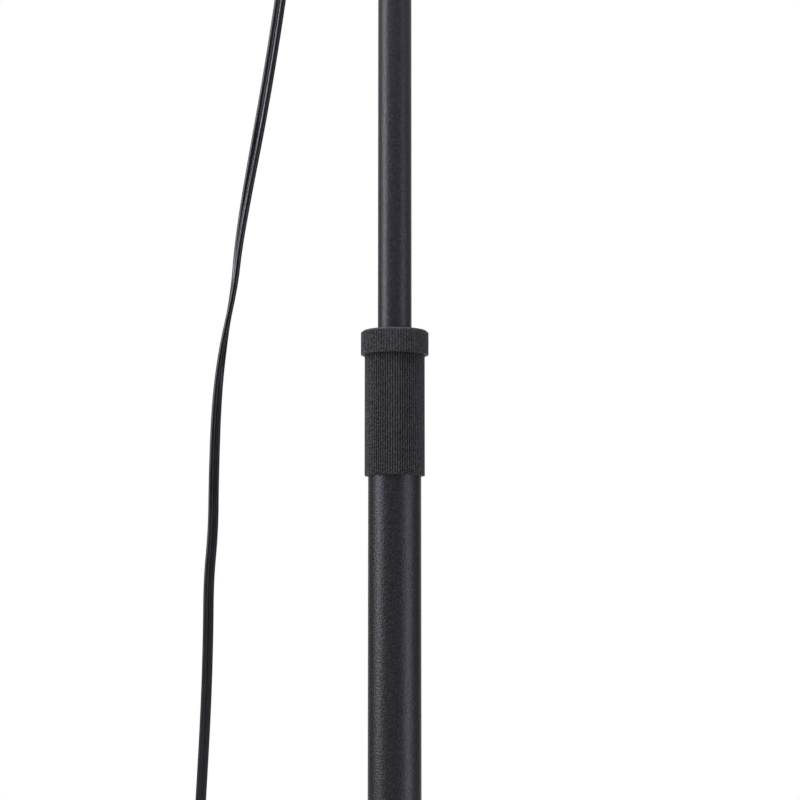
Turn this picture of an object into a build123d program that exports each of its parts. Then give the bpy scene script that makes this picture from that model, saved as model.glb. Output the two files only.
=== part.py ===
from build123d import *
import os
from math import acos, atan2, cos, hypot, pi, radians, sin, sqrt, tan

os.makedirs("parts", exist_ok=True)

# Adjustable floor lamp, in millimetres. The origin is the middle of the foot on the floor, +Z is up,
# the arm reaches towards +X, and the cord hangs on the -X side.

# Clearances, each on one side of a fit
PRESS_CLEARANCE = 0.02
RUNNING_CLEARANCE = 0.06
FACE_CLEARANCE = 0.05
THREAD_CLEARANCE = 0.15
LOOSE_CLEARANCE = 0.3

# Foot: floor pad, cast weight, spun cover and the bolt that clamps them to the pole
BASE_DIAMETER = 250.0
BASE_EDGE_HEIGHT = 13.0
BASE_RISE = 5.0
BASE_EDGE_ROUNDING = 5.0
BASE_MIDDLE_DIAMETER = 64.0
BASE_MIDDLE_ROUNDING = 40.0
COVER_WALL = 1.2
COVER_FLOOR_GAP = 1.2
PAD_THICKNESS = 3.0
PAD_INSET = 1.0
WEIGHT_INSET = 7.0
WEIGHT_MIDDLE_DIAMETER = 54.0
RECESS_DIAMETER = 34.0
RECESS_SPARE = 0.6
BOLT_DIAMETER = 10.0
BOLT_HEAD_FLATS = 16.0
BOLT_HEAD_HEIGHT = 6.4
BOLT_REACH = 22.0
WASHER_DIAMETER = 24.0
WASHER_THICKNESS = 1.8
FOOT_PLUG_LENGTH = 30.0
FOOT_RING_DIAMETER = 46.0
FOOT_RING_HEIGHT = 14.0
FOOT_RING_EDGE = 2.5
FOOT_RING_TOP_WALL = 1.8
FOOT_RING_HOLLOW = 2.4

# Pole tubes
LOWER_TUBE_DIAMETER = 25.0
LOWER_TUBE_WALL = 1.2
LOWER_TUBE_LENGTH = 753.0
UPPER_TUBE_DIAMETER = 16.0
UPPER_TUBE_WALL = 1.0
UPPER_TUBE_LENGTH = 700.0
UPPER_TUBE_SHOWN = 500.0

# Twist lock: ferrule, split collet, thrust washer and ribbed collar
FERRULE_DEPTH = 30.0
FERRULE_FLANGE = 3.0
FERRULE_NECK = 15.0
FERRULE_NECK_WALL = 1.3
COLLET_WALL = 1.2
COLLET_TAPER = 5.0
COLLET_SQUEEZE = 0.4
COLLET_LIP = 2.6
COLLET_LIP_OVERHANG = 0.8
COLLET_SLITS = 4
COLLET_SLIT_WIDTH = 1.2
COLLET_BRIDGE = 1.5
THRUST_THICKNESS = 1.0
COLLAR_HEIGHT = 69.0
COLLAR_CAP = 6.95
COLLAR_DIAMETER = 28.5
COLLAR_FOOT_DIAMETER = 28.24
COLLAR_FOOT_ROUNDING = 0.6
FLANGE_DIAMETER = 32.0
FLANGE_HEIGHT = 11.8
FLANGE_TOP_ROUNDING = 1.2
FLANGE_FOOT_ROUNDING = 0.5
RIB_COUNT = 75
RIB_DEPTH = 0.35
RIB_GROOVE_WIDTH = 0.62

# Sliding end of the upper tube
BUSH_SEAT = 16.0
BUSH_FOOT = 6.0
BUSH_CLEARANCE = 0.1
PIN_DIAMETER = 3.0
PIN_SHORT = 0.5

# Cord outlet in the side of the upper tube
OUTLET_DROP = 48.0
BOOT_SLOPE = 50.0
BOOT_LENGTH = 28.0
BOOT_DIAMETER = 11.6
BOOT_COLLAR = 6.0
BOOT_END_WALL = 1.1
BOOT_NECK_DIAMETER = 8.6
BOOT_INSIDE = 5.5

# Swivel, forks, tongues and clamps
INSERT_DEPTH = 30.0
INSERT_FLANGE = 3.0
SPIGOT_DIAMETER = 9.0
SPIGOT_END = 4.0
WIRE_BORE = 6.0
CLIP_DIAMETER = 12.4
CLIP_THICKNESS = 1.0
FORK_BOSS = 9.0
FORK_FOOT_DIAMETER = 17.0
FORK_BOSS_DIAMETER = 22.0
PIVOT_LIFT = 20.0
EAR_RADIUS = 8.0
EAR_THICKNESS = 3.5
FORK_GAP = 8.0
FRICTION_WASHER_DIAMETER = 14.0
FRICTION_WASHER = 0.6
TONGUE_RADIUS = 7.5
TONGUE_BAR_WIDTH = 10.0
TONGUE_REACH = 17.0
STUD_DIAMETER = 5.0
KNOB_DIAMETER = 24.0
KNOB_DEPTH = 11.0
KNOB_HUB_DIAMETER = 13.0
KNOB_HUB = 3.0
KNOB_LOBES = 6
KNOB_SCALLOP = 5.0
KNOB_SCALLOP_OUT = 3.0
KNOB_ROUNDING = 1.5
KNOB_GRIP = 9.0

# Arm
ARM_LENGTH = 260.0
ARM_RISE = 25.0
ARM_TUBE_DIAMETER = 12.0
ARM_TUBE_WALL = 1.0
ARM_SOCKET_WALL = 1.5
ARM_SOCKET_DEPTH = 16.0
ARM_SOCKET_LENGTH = 19.0
ARM_LEAD_DIAMETER = 4.8

# Head: tongue, nipple, cap, lampholder, shade and bulb, measured down from the head pivot
HEAD_BARREL_DIAMETER = 15.0
HEAD_BARREL_LENGTH = 14.0
NIPPLE_DIAMETER = 10.0
NIPPLE_BORE = 6.8
NIPPLE_REACH = 10.0
NIPPLE_SPARE = 1.5
NUT_FLATS = 14.0
NUT_THICKNESS = 4.0
CAP_DIAMETER = 42.0
CAP_HEIGHT = 43.0
CAP_WALL = 1.2
CAP_ROUNDING = 12.0
CAP_VENTS = 10
CAP_VENT_WIDTH = 2.4
CAP_VENT_LENGTH = 12.0
CAP_VENT_RISE = 5.0
HOLDER_DIAMETER = 33.2
HOLDER_TOP_GAP = 10.0
HOLDER_FLANGE_DIAMETER = 38.0
HOLDER_FLANGE = 2.0
HOLDER_SKIRT = 20.0
HOLDER_THREAD_DIAMETER = 26.6
HOLDER_SOCKET_DEPTH = 28.0
SHADE_DIAMETER = 156.0
SHADE_HEIGHT = 100.0
SHADE_SHOULDER_DIAMETER = 48.0
SHADE_WALL = 1.0
SHADE_BULGE = 19.0
SHADE_BEAD = 1.6
SHADE_RING_DIAMETER = 44.0
SHADE_RING_HEIGHT = 7.0
BULB_DIAMETER = 50.0
BULB_LENGTH = 87.0
BULB_SCREW_DIAMETER = 26.0
BULB_CONTACT_DIAMETER = 9.0
BULB_CONTACT_RISE = 4.0

# Turn switch on the front of the cap
SWITCH_DROP = 24.0
SWITCH_STEM_DIAMETER = 4.0
SWITCH_STEM_DEPTH = 6.0
SWITCH_KNOB_DIAMETER = 13.0
SWITCH_KNOB_LENGTH = 12.0
SWITCH_KNOB_GRIP = 8.0
SWITCH_KNOB_FLUTES = 12
SWITCH_FLUTE_DIAMETER = 1.6
SWITCH_KNOB_ROUNDING = 1.0

# Flat two-core cord, its coil, tie and plug
CORD_WIDTH = 5.6
CORD_THICKNESS = 2.8
CORD_EDGE = 0.7
CORD_STRAIGHT = 22.0
CORD_BEND_SHARE = 0.45
CORD_ROUTE = [
    (-43.6, 2.0, 1180.0),
    (-45.8, 5.0, 1136.0),
    (-46.9, 9.0, 1086.0),
    (-48.6, 14.0, 1033.0),
    (-52.2, 18.5, 995.0),
    (-57.9, 23.0, 955.0),
    (-64.4, 26.2, 915.0),
    (-72.4, 29.6, 872.0),
    (-76.7, 31.8, 845.0),
    (-78.4, 33.4, 826.0),
    (-83.8, 35.5, 799.0),
    (-87.0, 37.7, 772.0),
    (-88.3, 40.7, 735.0),
    (-88.5, 42.9, 708.0),
    (-90.7, 44.8, 684.0),
    (-90.8, 46.7, 660.0),
    (-91.7, 49.5, 625.0),
    (-93.8, 52.7, 585.0),
    (-96.3, 55.6, 541.0),
    (-98.2, 58.4, 480.0),
    (-98.9, 60.2, 415.0),
    (-98.6, 61.0, 345.0),
    (-97.6, 60.9, 275.0),
    (-96.6, 60.2, 211.0),
    (-96.1, 59.6, 150.0),
    (-97.8, 62.1, 95.0),
    (-101.4, 66.9, 56.0),
    (-109.2, 77.3, 29.0),
    (-123.0, 95.7, 11.0),
]
CORD_FLOOR_RUN = 28.0
COIL_CENTRE = (-132.0, 166.0)
COIL_HEADING = 126.87
COIL_RADIUS = 35.0
COIL_STEP = 4.2
COIL_HALF_TURNS = 6
COIL_LAYER_GAP = 0.6
COIL_SAMPLES = 900
TAIL_TURNS = (16.0, 22.0, 20.0)
TAIL_RUN = 18.0
TIE_WIDTH = 8.0
TIE_THICKNESS = 0.8
TIE_SPACE = 0.9
TIE_SIDE_SPACE = 0.7
TIE_ROUNDING = 0.8
PLUG_LENGTH = 32.0
PLUG_WIDTH = 25.0
PLUG_HEIGHT = 19.0
PLUG_NOSE_WIDTH = 13.0
PLUG_NOSE_HEIGHT = 10.0
PLUG_ROUNDING = 4.0
PLUG_FACE_ROUNDING = 1.5
BLADE_SPACING = 12.7
BLADE_THICKNESS = 1.5
BLADE_HEIGHTS = (7.9, 6.3)
BLADE_LENGTH = 17.0
BLADE_ROOT = 8.0
BLADE_HOLE_DIAMETER = 3.2
BLADE_HOLE_REACH = 11.7


def save(piece, name):
    piece.part.label = name
    export_step(piece.part, f"parts/{name}.step")


def ring(outer_radius, inner_radius, plane, height):
    """A round disc, washer or tube standing on a plane."""
    with BuildPart() as piece:
        with BuildSketch(plane):
            Circle(outer_radius)
            if inner_radius > 0:
                Circle(inner_radius, mode=Mode.SUBTRACT)
        extrude(amount=height)
    return piece


def turned(outline, plane, axis):
    """A turned piece from the corners of its half section."""
    with BuildPart() as piece:
        with BuildSketch(plane):
            with BuildLine():
                Polyline(*outline, close=True)
            make_face()
        revolve(axis=axis)
    return piece


# Foot
base_radius = BASE_DIAMETER / 2
base_top = BASE_EDGE_HEIGHT + BASE_RISE
base_middle = BASE_MIDDLE_DIAMETER / 2
bolt_radius = BOLT_DIAMETER / 2
bolt_hole = bolt_radius + LOOSE_CLEARANCE
weight_top = base_top - COVER_WALL
weight_radius = base_radius - COVER_WALL - WEIGHT_INSET
weight_slope = BASE_RISE / (base_radius - base_middle)
weight_edge = weight_top - weight_slope * (weight_radius - base_middle) - LOOSE_CLEARANCE
recess_top = PAD_THICKNESS + RECESS_SPARE + BOLT_HEAD_HEIGHT + WASHER_THICKNESS
head_bottom = PAD_THICKNESS + RECESS_SPARE
lower_radius = LOWER_TUBE_DIAMETER / 2
lower_bore = lower_radius - LOWER_TUBE_WALL

base_pad = ring(base_radius - COVER_WALL - PAD_INSET, 0, Plane.XY, PAD_THICKNESS)
save(base_pad, "base_pad")

base_weight = turned(
    [
        (bolt_hole, weight_top),
        (WEIGHT_MIDDLE_DIAMETER / 2, weight_top),
        (weight_radius, weight_edge),
        (weight_radius, PAD_THICKNESS),
        (RECESS_DIAMETER / 2, PAD_THICKNESS),
        (RECESS_DIAMETER / 2, recess_top),
        (bolt_hole, recess_top),
    ],
    Plane.XZ,
    Axis.Z,
)
save(base_weight, "base_weight")

with BuildPart() as base_cover:
    with BuildSketch(Plane.XZ):
        with BuildLine():
            FilletPolyline(
                (base_radius, COVER_FLOOR_GAP),
                (base_radius, BASE_EDGE_HEIGHT),
                (base_middle, base_top),
                (bolt_hole, base_top),
                radius=[BASE_EDGE_ROUNDING, BASE_MIDDLE_ROUNDING],
            )
            offset(amount=COVER_WALL, side=Side.LEFT)
        make_face()
    revolve(axis=Axis.Z)
save(base_cover, "base_cover")

base_washer = ring(
    WASHER_DIAMETER / 2, bolt_hole, Plane.XY.offset(recess_top - WASHER_THICKNESS), WASHER_THICKNESS
)
save(base_washer, "base_washer")

with BuildPart() as base_bolt:
    with BuildSketch(Plane.XY.offset(head_bottom)):
        RegularPolygon(BOLT_HEAD_FLATS / 2, 6, major_radius=False)
    extrude(amount=BOLT_HEAD_HEIGHT)
    with BuildSketch(Plane.XY.offset(head_bottom + BOLT_HEAD_HEIGHT)):
        Circle(bolt_radius)
    extrude(amount=base_top + BOLT_REACH - head_bottom - BOLT_HEAD_HEIGHT)
save(base_bolt, "base_bolt")

foot_plug = ring(
    lower_bore - PRESS_CLEARANCE, bolt_radius + PRESS_CLEARANCE, Plane.XY.offset(base_top), FOOT_PLUG_LENGTH
)
save(foot_plug, "foot_plug")

ring_bore = lower_radius + PRESS_CLEARANCE
ring_radius = FOOT_RING_DIAMETER / 2
with BuildPart() as foot_ring:
    with BuildSketch(Plane.XZ):
        with BuildLine():
            Polyline(
                (ring_bore + FOOT_RING_TOP_WALL, base_top + FOOT_RING_HEIGHT),
                (ring_bore, base_top + FOOT_RING_HEIGHT),
                (ring_bore, base_top),
                (ring_radius, base_top),
                (ring_radius, base_top + FOOT_RING_EDGE),
            )
            SagittaArc(
                (ring_radius, base_top + FOOT_RING_EDGE),
                (ring_bore + FOOT_RING_TOP_WALL, base_top + FOOT_RING_HEIGHT),
                FOOT_RING_HOLLOW,
            )
        make_face()
    revolve(axis=Axis.Z)
save(foot_ring, "foot_ring")

# Lower tube and the fixed half of the twist lock
tube_top = base_top + LOWER_TUBE_LENGTH
upper_radius = UPPER_TUBE_DIAMETER / 2
upper_bore = upper_radius - UPPER_TUBE_WALL
tube_hole = upper_radius + LOOSE_CLEARANCE
seat_bottom = tube_top + FERRULE_FLANGE
neck_top = seat_bottom + FERRULE_NECK
collet_bore = upper_radius + RUNNING_CLEARANCE
collet_foot = collet_bore + COLLET_WALL
collet_shoulder = collet_foot + FERRULE_NECK * tan(radians(COLLET_TAPER))
neck_radius = collet_shoulder + PRESS_CLEARANCE + FERRULE_NECK_WALL
lip_bottom = neck_top + COLLET_SQUEEZE
lip_top = lip_bottom + COLLET_LIP

lower_tube = ring(lower_radius, lower_bore, Plane.XY.offset(base_top), LOWER_TUBE_LENGTH)
save(lower_tube, "lower_tube")

lock_ferrule = turned(
    [
        (tube_hole, tube_top - FERRULE_DEPTH),
        (lower_bore - PRESS_CLEARANCE, tube_top - FERRULE_DEPTH),
        (lower_bore - PRESS_CLEARANCE, tube_top),
        (lower_radius, tube_top),
        (lower_radius, seat_bottom),
        (neck_radius, seat_bottom),
        (neck_radius, neck_top),
        (collet_shoulder + PRESS_CLEARANCE, neck_top),
        (collet_foot + PRESS_CLEARANCE, seat_bottom),
        (tube_hole, seat_bottom),
    ],
    Plane.XZ,
    Axis.Z,
)
save(lock_ferrule, "lock_ferrule")

# The collet is slit from below on all sides, and right through on one, so that it can close on the tube
with BuildPart() as collet:
    with BuildSketch(Plane.XZ):
        with BuildLine():
            Polyline(
                (collet_bore, seat_bottom),
                (collet_foot, seat_bottom),
                (collet_shoulder, neck_top),
                (collet_shoulder, lip_bottom),
                (collet_shoulder + COLLET_LIP_OVERHANG, lip_bottom),
                (collet_shoulder + COLLET_LIP_OVERHANG, lip_top),
                (collet_bore, lip_top),
                close=True,
            )
        make_face()
    revolve(axis=Axis.Z)
    with BuildSketch(Plane.XY.offset(seat_bottom)):
        with PolarLocations(neck_radius, COLLET_SLITS):
            Rectangle(neck_radius, COLLET_SLIT_WIDTH)
    extrude(amount=FERRULE_NECK - COLLET_BRIDGE, mode=Mode.SUBTRACT)
    with BuildSketch(Plane.XY.offset(seat_bottom)):
        with Locations((neck_radius, 0)):
            Rectangle(neck_radius, COLLET_SLIT_WIDTH)
    extrude(amount=lip_top - seat_bottom, mode=Mode.SUBTRACT)
save(collet, "collet")

# Turning half of the twist lock
shoulder = lip_top + FACE_CLEARANCE + THRUST_THICKNESS
collar_top = shoulder + COLLAR_CAP
collar_bottom = collar_top - COLLAR_HEIGHT
flange_bottom = collar_top - FLANGE_HEIGHT
flange_radius = FLANGE_DIAMETER / 2
collar_foot = COLLAR_FOOT_DIAMETER / 2
thread_bore = neck_radius + THREAD_CLEARANCE
sleeve_bore = lower_radius + LOOSE_CLEARANCE
thread_bottom = seat_bottom + LOOSE_CLEARANCE

thrust_washer = ring(
    neck_radius - THREAD_CLEARANCE, tube_hole, Plane.XY.offset(lip_top + FACE_CLEARANCE), THRUST_THICKNESS
)
save(thrust_washer, "thrust_washer")


def rib_groove(surface_radius):
    """A V groove, cut a little past the surface it runs in."""
    past = RIB_DEPTH / 2
    half_width = RIB_GROOVE_WIDTH / 2 * (RIB_DEPTH + past) / RIB_DEPTH
    return [
        (surface_radius - RIB_DEPTH, 0),
        (surface_radius + past, half_width),
        (surface_radius + past, -half_width),
    ]


with BuildPart() as lock_collar:
    with BuildSketch(Plane.XZ):
        with BuildLine():
            FilletPolyline(
                (sleeve_bore, collar_bottom),
                (collar_foot, collar_bottom),
                (COLLAR_DIAMETER / 2, flange_bottom),
                (flange_radius, flange_bottom),
                (flange_radius, collar_top),
                (tube_hole, collar_top),
                (tube_hole, shoulder),
                (thread_bore, shoulder),
                (thread_bore, thread_bottom),
                (sleeve_bore, thread_bottom),
                radius=[0, COLLAR_FOOT_ROUNDING, 0, FLANGE_FOOT_ROUNDING, FLANGE_TOP_ROUNDING, 0, 0, 0, 0, 0],
                close=True,
            )
        make_face()
    revolve(axis=Axis.Z)
    with BuildSketch(Plane.XY.offset(collar_bottom)):
        with PolarLocations(0, RIB_COUNT):
            Polygon(*rib_groove(collar_foot), align=None)
    extrude(amount=flange_bottom - collar_bottom, mode=Mode.SUBTRACT)
    with BuildSketch(Plane.XY.offset(flange_bottom)):
        with PolarLocations(0, RIB_COUNT):
            Polygon(*rib_groove(flange_radius), align=None)
    extrude(amount=FLANGE_HEIGHT, mode=Mode.SUBTRACT)
save(lock_collar, "lock_collar")

# Upper tube with its guide bush, pin, top insert and cord boot
upper_top = collar_top + UPPER_TUBE_SHOWN
upper_bottom = upper_top - UPPER_TUBE_LENGTH
pin_height = upper_bottom + BUSH_SEAT / 2
pin_hole = PIN_DIAMETER / 2 + PRESS_CLEARANCE
bush_radius = lower_bore - BUSH_CLEARANCE
outlet = Vector(-upper_radius, 0, upper_top - OUTLET_DROP)
boot_direction = Vector(-cos(radians(BOOT_SLOPE)), 0, -sin(radians(BOOT_SLOPE)))
boot_section = Plane(outlet, x_dir=(0, 1, 0), z_dir=Vector(0, 1, 0).cross(boot_direction))
boot_axis = Axis(outlet, boot_direction)
boot_neck = BOOT_NECK_DIAMETER / 2
boot_end = outlet + boot_direction * BOOT_LENGTH
boot_back = Plane(outlet - boot_direction * BOOT_INSIDE, x_dir=(0, 1, 0), z_dir=boot_direction)

with BuildPart() as upper_tube:
    with BuildSketch(Plane.XY.offset(upper_bottom)):
        Circle(upper_radius)
        Circle(upper_bore, mode=Mode.SUBTRACT)
    extrude(amount=UPPER_TUBE_LENGTH)
    with BuildSketch(Plane.YZ):
        with Locations((0, pin_height)):
            Circle(pin_hole)
    extrude(amount=upper_radius, both=True, mode=Mode.SUBTRACT)
    with BuildSketch(boot_back):
        Circle(boot_neck + PRESS_CLEARANCE)
    extrude(amount=2 * BOOT_INSIDE, mode=Mode.SUBTRACT)
save(upper_tube, "upper_tube")

with BuildPart() as guide_bush:
    with BuildSketch(Plane.XZ):
        with BuildLine():
            Polyline(
                (upper_bore, upper_bottom - BUSH_FOOT),
                (bush_radius, upper_bottom - BUSH_FOOT),
                (bush_radius, upper_bottom + BUSH_SEAT),
                (upper_radius + PRESS_CLEARANCE, upper_bottom + BUSH_SEAT),
                (upper_radius + PRESS_CLEARANCE, upper_bottom),
                (upper_bore, upper_bottom),
                close=True,
            )
        make_face()
    revolve(axis=Axis.Z)
    with BuildSketch(Plane.YZ):
        with Locations((0, pin_height)):
            Circle(pin_hole)
    extrude(amount=bush_radius, both=True, mode=Mode.SUBTRACT)
save(guide_bush, "guide_bush")

with BuildPart() as bush_pin:
    with BuildSketch(Plane.YZ):
        with Locations((0, pin_height)):
            Circle(PIN_DIAMETER / 2)
    extrude(amount=bush_radius - PIN_SHORT, both=True)
save(bush_pin, "bush_pin")

insert_bore = SPIGOT_DIAMETER / 2 + RUNNING_CLEARANCE
insert_top = upper_top + INSERT_FLANGE
top_insert = turned(
    [
        (insert_bore, upper_top - INSERT_DEPTH),
        (upper_bore - PRESS_CLEARANCE, upper_top - INSERT_DEPTH),
        (upper_bore - PRESS_CLEARANCE, upper_top),
        (upper_radius, upper_top),
        (upper_radius, insert_top),
        (insert_bore, insert_top),
    ],
    Plane.XZ,
    Axis.Z,
)
save(top_insert, "top_insert")

# The boot is a taper with a saddle against the tube, and a neck that passes through the tube's wall
with BuildPart() as cord_boot:
    with BuildSketch(boot_section):
        with BuildLine():
            Polyline(
                (0, -BOOT_COLLAR),
                (BOOT_DIAMETER / 2, -BOOT_COLLAR),
                (BOOT_DIAMETER / 2, BOOT_COLLAR),
                (CORD_WIDTH / 2 + BOOT_END_WALL, BOOT_LENGTH),
                (0, BOOT_LENGTH),
                close=True,
            )
        make_face()
    revolve(axis=boot_axis)
    with BuildSketch(Plane.XY.offset(outlet.Z - BOOT_LENGTH)):
        Circle(upper_radius + PRESS_CLEARANCE)
    extrude(amount=2 * BOOT_LENGTH, mode=Mode.SUBTRACT)
    with BuildSketch(boot_back):
        Circle(boot_neck)
    extrude(amount=BOOT_INSIDE + BOOT_COLLAR)
save(cord_boot, "cord_boot")

# Forks, tongues and clamps, made alike at the neck and at the head.
# A pivot plane has its origin on the hinge line, Y along that line and Z out along the fork or tongue.
fork_half_width = FORK_GAP / 2 + EAR_THICKNESS
stud_radius = STUD_DIAMETER / 2
stud_hole = stud_radius + RUNNING_CLEARANCE
tongue_half_width = FORK_GAP / 2 - FRICTION_WASHER - FACE_CLEARANCE


def side_plane(pivot):
    """The plane square to the hinge line, with its Y along the fork or tongue."""
    return Plane(pivot.origin, x_dir=pivot.x_dir, z_dir=-pivot.y_dir)


def fork(pivot, shank_radius, shank_length, bore_radius, bore_depth):
    """Two ears on a tapered boss, with a bored shank behind it."""
    side = side_plane(pivot)
    boss_bottom = -PIVOT_LIFT - FORK_BOSS
    shank_end = boss_bottom - shank_length
    with BuildPart() as piece:
        with BuildSketch(side):
            with BuildLine():
                Polyline(
                    (0, shank_end),
                    (shank_radius, shank_end),
                    (shank_radius, boss_bottom),
                    (FORK_FOOT_DIAMETER / 2, boss_bottom),
                    (FORK_BOSS_DIAMETER / 2, -PIVOT_LIFT),
                    (0, -PIVOT_LIFT),
                    close=True,
                )
            make_face()
        revolve(axis=Axis(pivot.origin, pivot.z_dir))
        with BuildSketch(side):
            Circle(EAR_RADIUS)
            with Locations((0, -PIVOT_LIFT / 2)):
                Rectangle(2 * EAR_RADIUS, PIVOT_LIFT)
        extrude(amount=fork_half_width, both=True)
        with BuildSketch(side):
            with Locations((0, (EAR_RADIUS - PIVOT_LIFT) / 2)):
                Rectangle(2 * EAR_RADIUS, EAR_RADIUS + PIVOT_LIFT)
        extrude(amount=FORK_GAP / 2, both=True, mode=Mode.SUBTRACT)
        with BuildSketch(side):
            Circle(stud_hole)
        extrude(amount=fork_half_width, both=True, mode=Mode.SUBTRACT)
        with BuildSketch(pivot.offset(shank_end)):
            Circle(bore_radius)
        extrude(amount=bore_depth, mode=Mode.SUBTRACT)
    return piece


def tongue(pivot, barrel_radius, barrel_length, bore_radius, bore_depth):
    """A flat round tongue that ends in a bored barrel."""
    side = side_plane(pivot)
    with BuildPart() as piece:
        with BuildSketch(side):
            Circle(TONGUE_RADIUS)
            with Locations((0, TONGUE_REACH / 2)):
                Rectangle(TONGUE_BAR_WIDTH, TONGUE_REACH)
        extrude(amount=tongue_half_width, both=True)
        with BuildSketch(pivot.offset(TONGUE_REACH)):
            Circle(barrel_radius)
        extrude(amount=barrel_length)
        with BuildSketch(side):
            Circle(stud_hole)
        extrude(amount=tongue_half_width, both=True, mode=Mode.SUBTRACT)
        with BuildSketch(pivot.offset(TONGUE_REACH + barrel_length - bore_depth)):
            Circle(bore_radius)
        extrude(amount=bore_depth, mode=Mode.SUBTRACT)
    return piece


def friction_washers(pivot):
    """One washer against the inner face of each ear."""
    with BuildPart() as piece:
        for way in (1, -1):
            face = pivot.origin + pivot.y_dir * (way * FORK_GAP / 2)
            with BuildSketch(Plane(face, x_dir=pivot.x_dir, z_dir=pivot.y_dir * -way)):
                Circle(FRICTION_WASHER_DIAMETER / 2)
                Circle(stud_hole, mode=Mode.SUBTRACT)
            extrude(amount=FRICTION_WASHER)
    return piece


def knob_plane(pivot):
    """The plane just outside the front ear, facing the hand that turns the knob."""
    front = pivot.origin - pivot.y_dir * (fork_half_width + FACE_CLEARANCE)
    return Plane(front, x_dir=pivot.x_dir, z_dir=-pivot.y_dir)


def clamp_knob(pivot):
    """A lobed hand knob on a round hub, bored for its stud."""
    front = knob_plane(pivot)
    with BuildPart() as piece:
        with BuildSketch(front.offset(KNOB_HUB)):
            Circle(KNOB_DIAMETER / 2)
            with PolarLocations(KNOB_DIAMETER / 2 + KNOB_SCALLOP_OUT, KNOB_LOBES):
                Circle(KNOB_SCALLOP, mode=Mode.SUBTRACT)
        extrude(amount=KNOB_DEPTH)
        fillet(piece.faces().sort_by(Axis(front.origin, front.z_dir))[-1].edges(), KNOB_ROUNDING)
        with BuildSketch(front):
            Circle(KNOB_HUB_DIAMETER / 2)
        extrude(amount=KNOB_HUB)
        with BuildSketch(front):
            Circle(stud_radius + PRESS_CLEARANCE)
        extrude(amount=KNOB_GRIP, mode=Mode.SUBTRACT)
    return piece


def clamp_stud(pivot):
    """The threaded stud, from inside the knob to the far face of the fork."""
    back = knob_plane(pivot).offset(-2 * fork_half_width - FACE_CLEARANCE)
    return ring(stud_radius, 0, back, 2 * fork_half_width + FACE_CLEARANCE + KNOB_GRIP)


# Neck, which swivels on top of the upper tube
neck_bottom = insert_top + FACE_CLEARANCE
arm_pivot_height = neck_bottom + FORK_BOSS + PIVOT_LIFT
neck_pivot = Plane((0, 0, arm_pivot_height), x_dir=(1, 0, 0), z_dir=(0, 0, 1))
spigot_length = INSERT_FLANGE + INSERT_DEPTH + SPIGOT_END

neck_fork = fork(neck_pivot, SPIGOT_DIAMETER / 2, spigot_length, WIRE_BORE / 2, spigot_length + FORK_BOSS)
save(neck_fork, "neck_fork")

clip_top = upper_top - INSERT_DEPTH - LOOSE_CLEARANCE
neck_clip = ring(
    CLIP_DIAMETER / 2,
    SPIGOT_DIAMETER / 2 + PRESS_CLEARANCE,
    Plane.XY.offset(clip_top - CLIP_THICKNESS),
    CLIP_THICKNESS,
)
save(neck_clip, "neck_clip")

arm_washers = friction_washers(neck_pivot)
save(arm_washers, "arm_washers")

# Arm, from the neck pivot up to the head pivot
arm_direction = Vector(cos(radians(ARM_RISE)), 0, sin(radians(ARM_RISE)))
arm_across = Vector(sin(radians(ARM_RISE)), 0, -cos(radians(ARM_RISE)))
head_centre = neck_pivot.origin + arm_direction * ARM_LENGTH
arm_pivot = Plane(neck_pivot.origin, x_dir=arm_across, z_dir=arm_direction)
arm_end = Plane(head_centre, x_dir=arm_across, z_dir=arm_direction)
arm_radius = ARM_TUBE_DIAMETER / 2
arm_socket = arm_radius + ARM_SOCKET_WALL
arm_start = TONGUE_REACH + ARM_SOCKET_LENGTH - ARM_SOCKET_DEPTH
arm_stop = ARM_LENGTH - PIVOT_LIFT - FORK_BOSS - ARM_SOCKET_LENGTH + ARM_SOCKET_DEPTH
lead_radius = ARM_LEAD_DIAMETER / 2
lead_drop = arm_radius - ARM_TUBE_WALL - LOOSE_CLEARANCE - lead_radius

arm_root = tongue(arm_pivot, arm_socket, ARM_SOCKET_LENGTH, arm_radius + PRESS_CLEARANCE, ARM_SOCKET_DEPTH)
save(arm_root, "arm_root")

arm_tube = ring(arm_radius, arm_radius - ARM_TUBE_WALL, arm_pivot.offset(arm_start), arm_stop - arm_start)
save(arm_tube, "arm_tube")

with BuildPart() as arm_lead:
    with BuildSketch(arm_pivot.offset(arm_start)):
        with Locations((lead_drop, 0)):
            Circle(lead_radius)
    extrude(amount=arm_stop - arm_start)
save(arm_lead, "arm_lead")

arm_fork = fork(arm_end, arm_socket, ARM_SOCKET_LENGTH, arm_radius + PRESS_CLEARANCE, ARM_SOCKET_DEPTH)
save(arm_fork, "arm_fork")

head_washers = friction_washers(arm_end)
save(head_washers, "head_washers")

arm_knob = clamp_knob(neck_pivot)
save(arm_knob, "arm_knob")

arm_stud = clamp_stud(neck_pivot)
save(arm_stud, "arm_stud")

head_knob = clamp_knob(arm_end)
save(head_knob, "head_knob")

head_stud = clamp_stud(arm_end)
save(head_stud, "head_stud")

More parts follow.
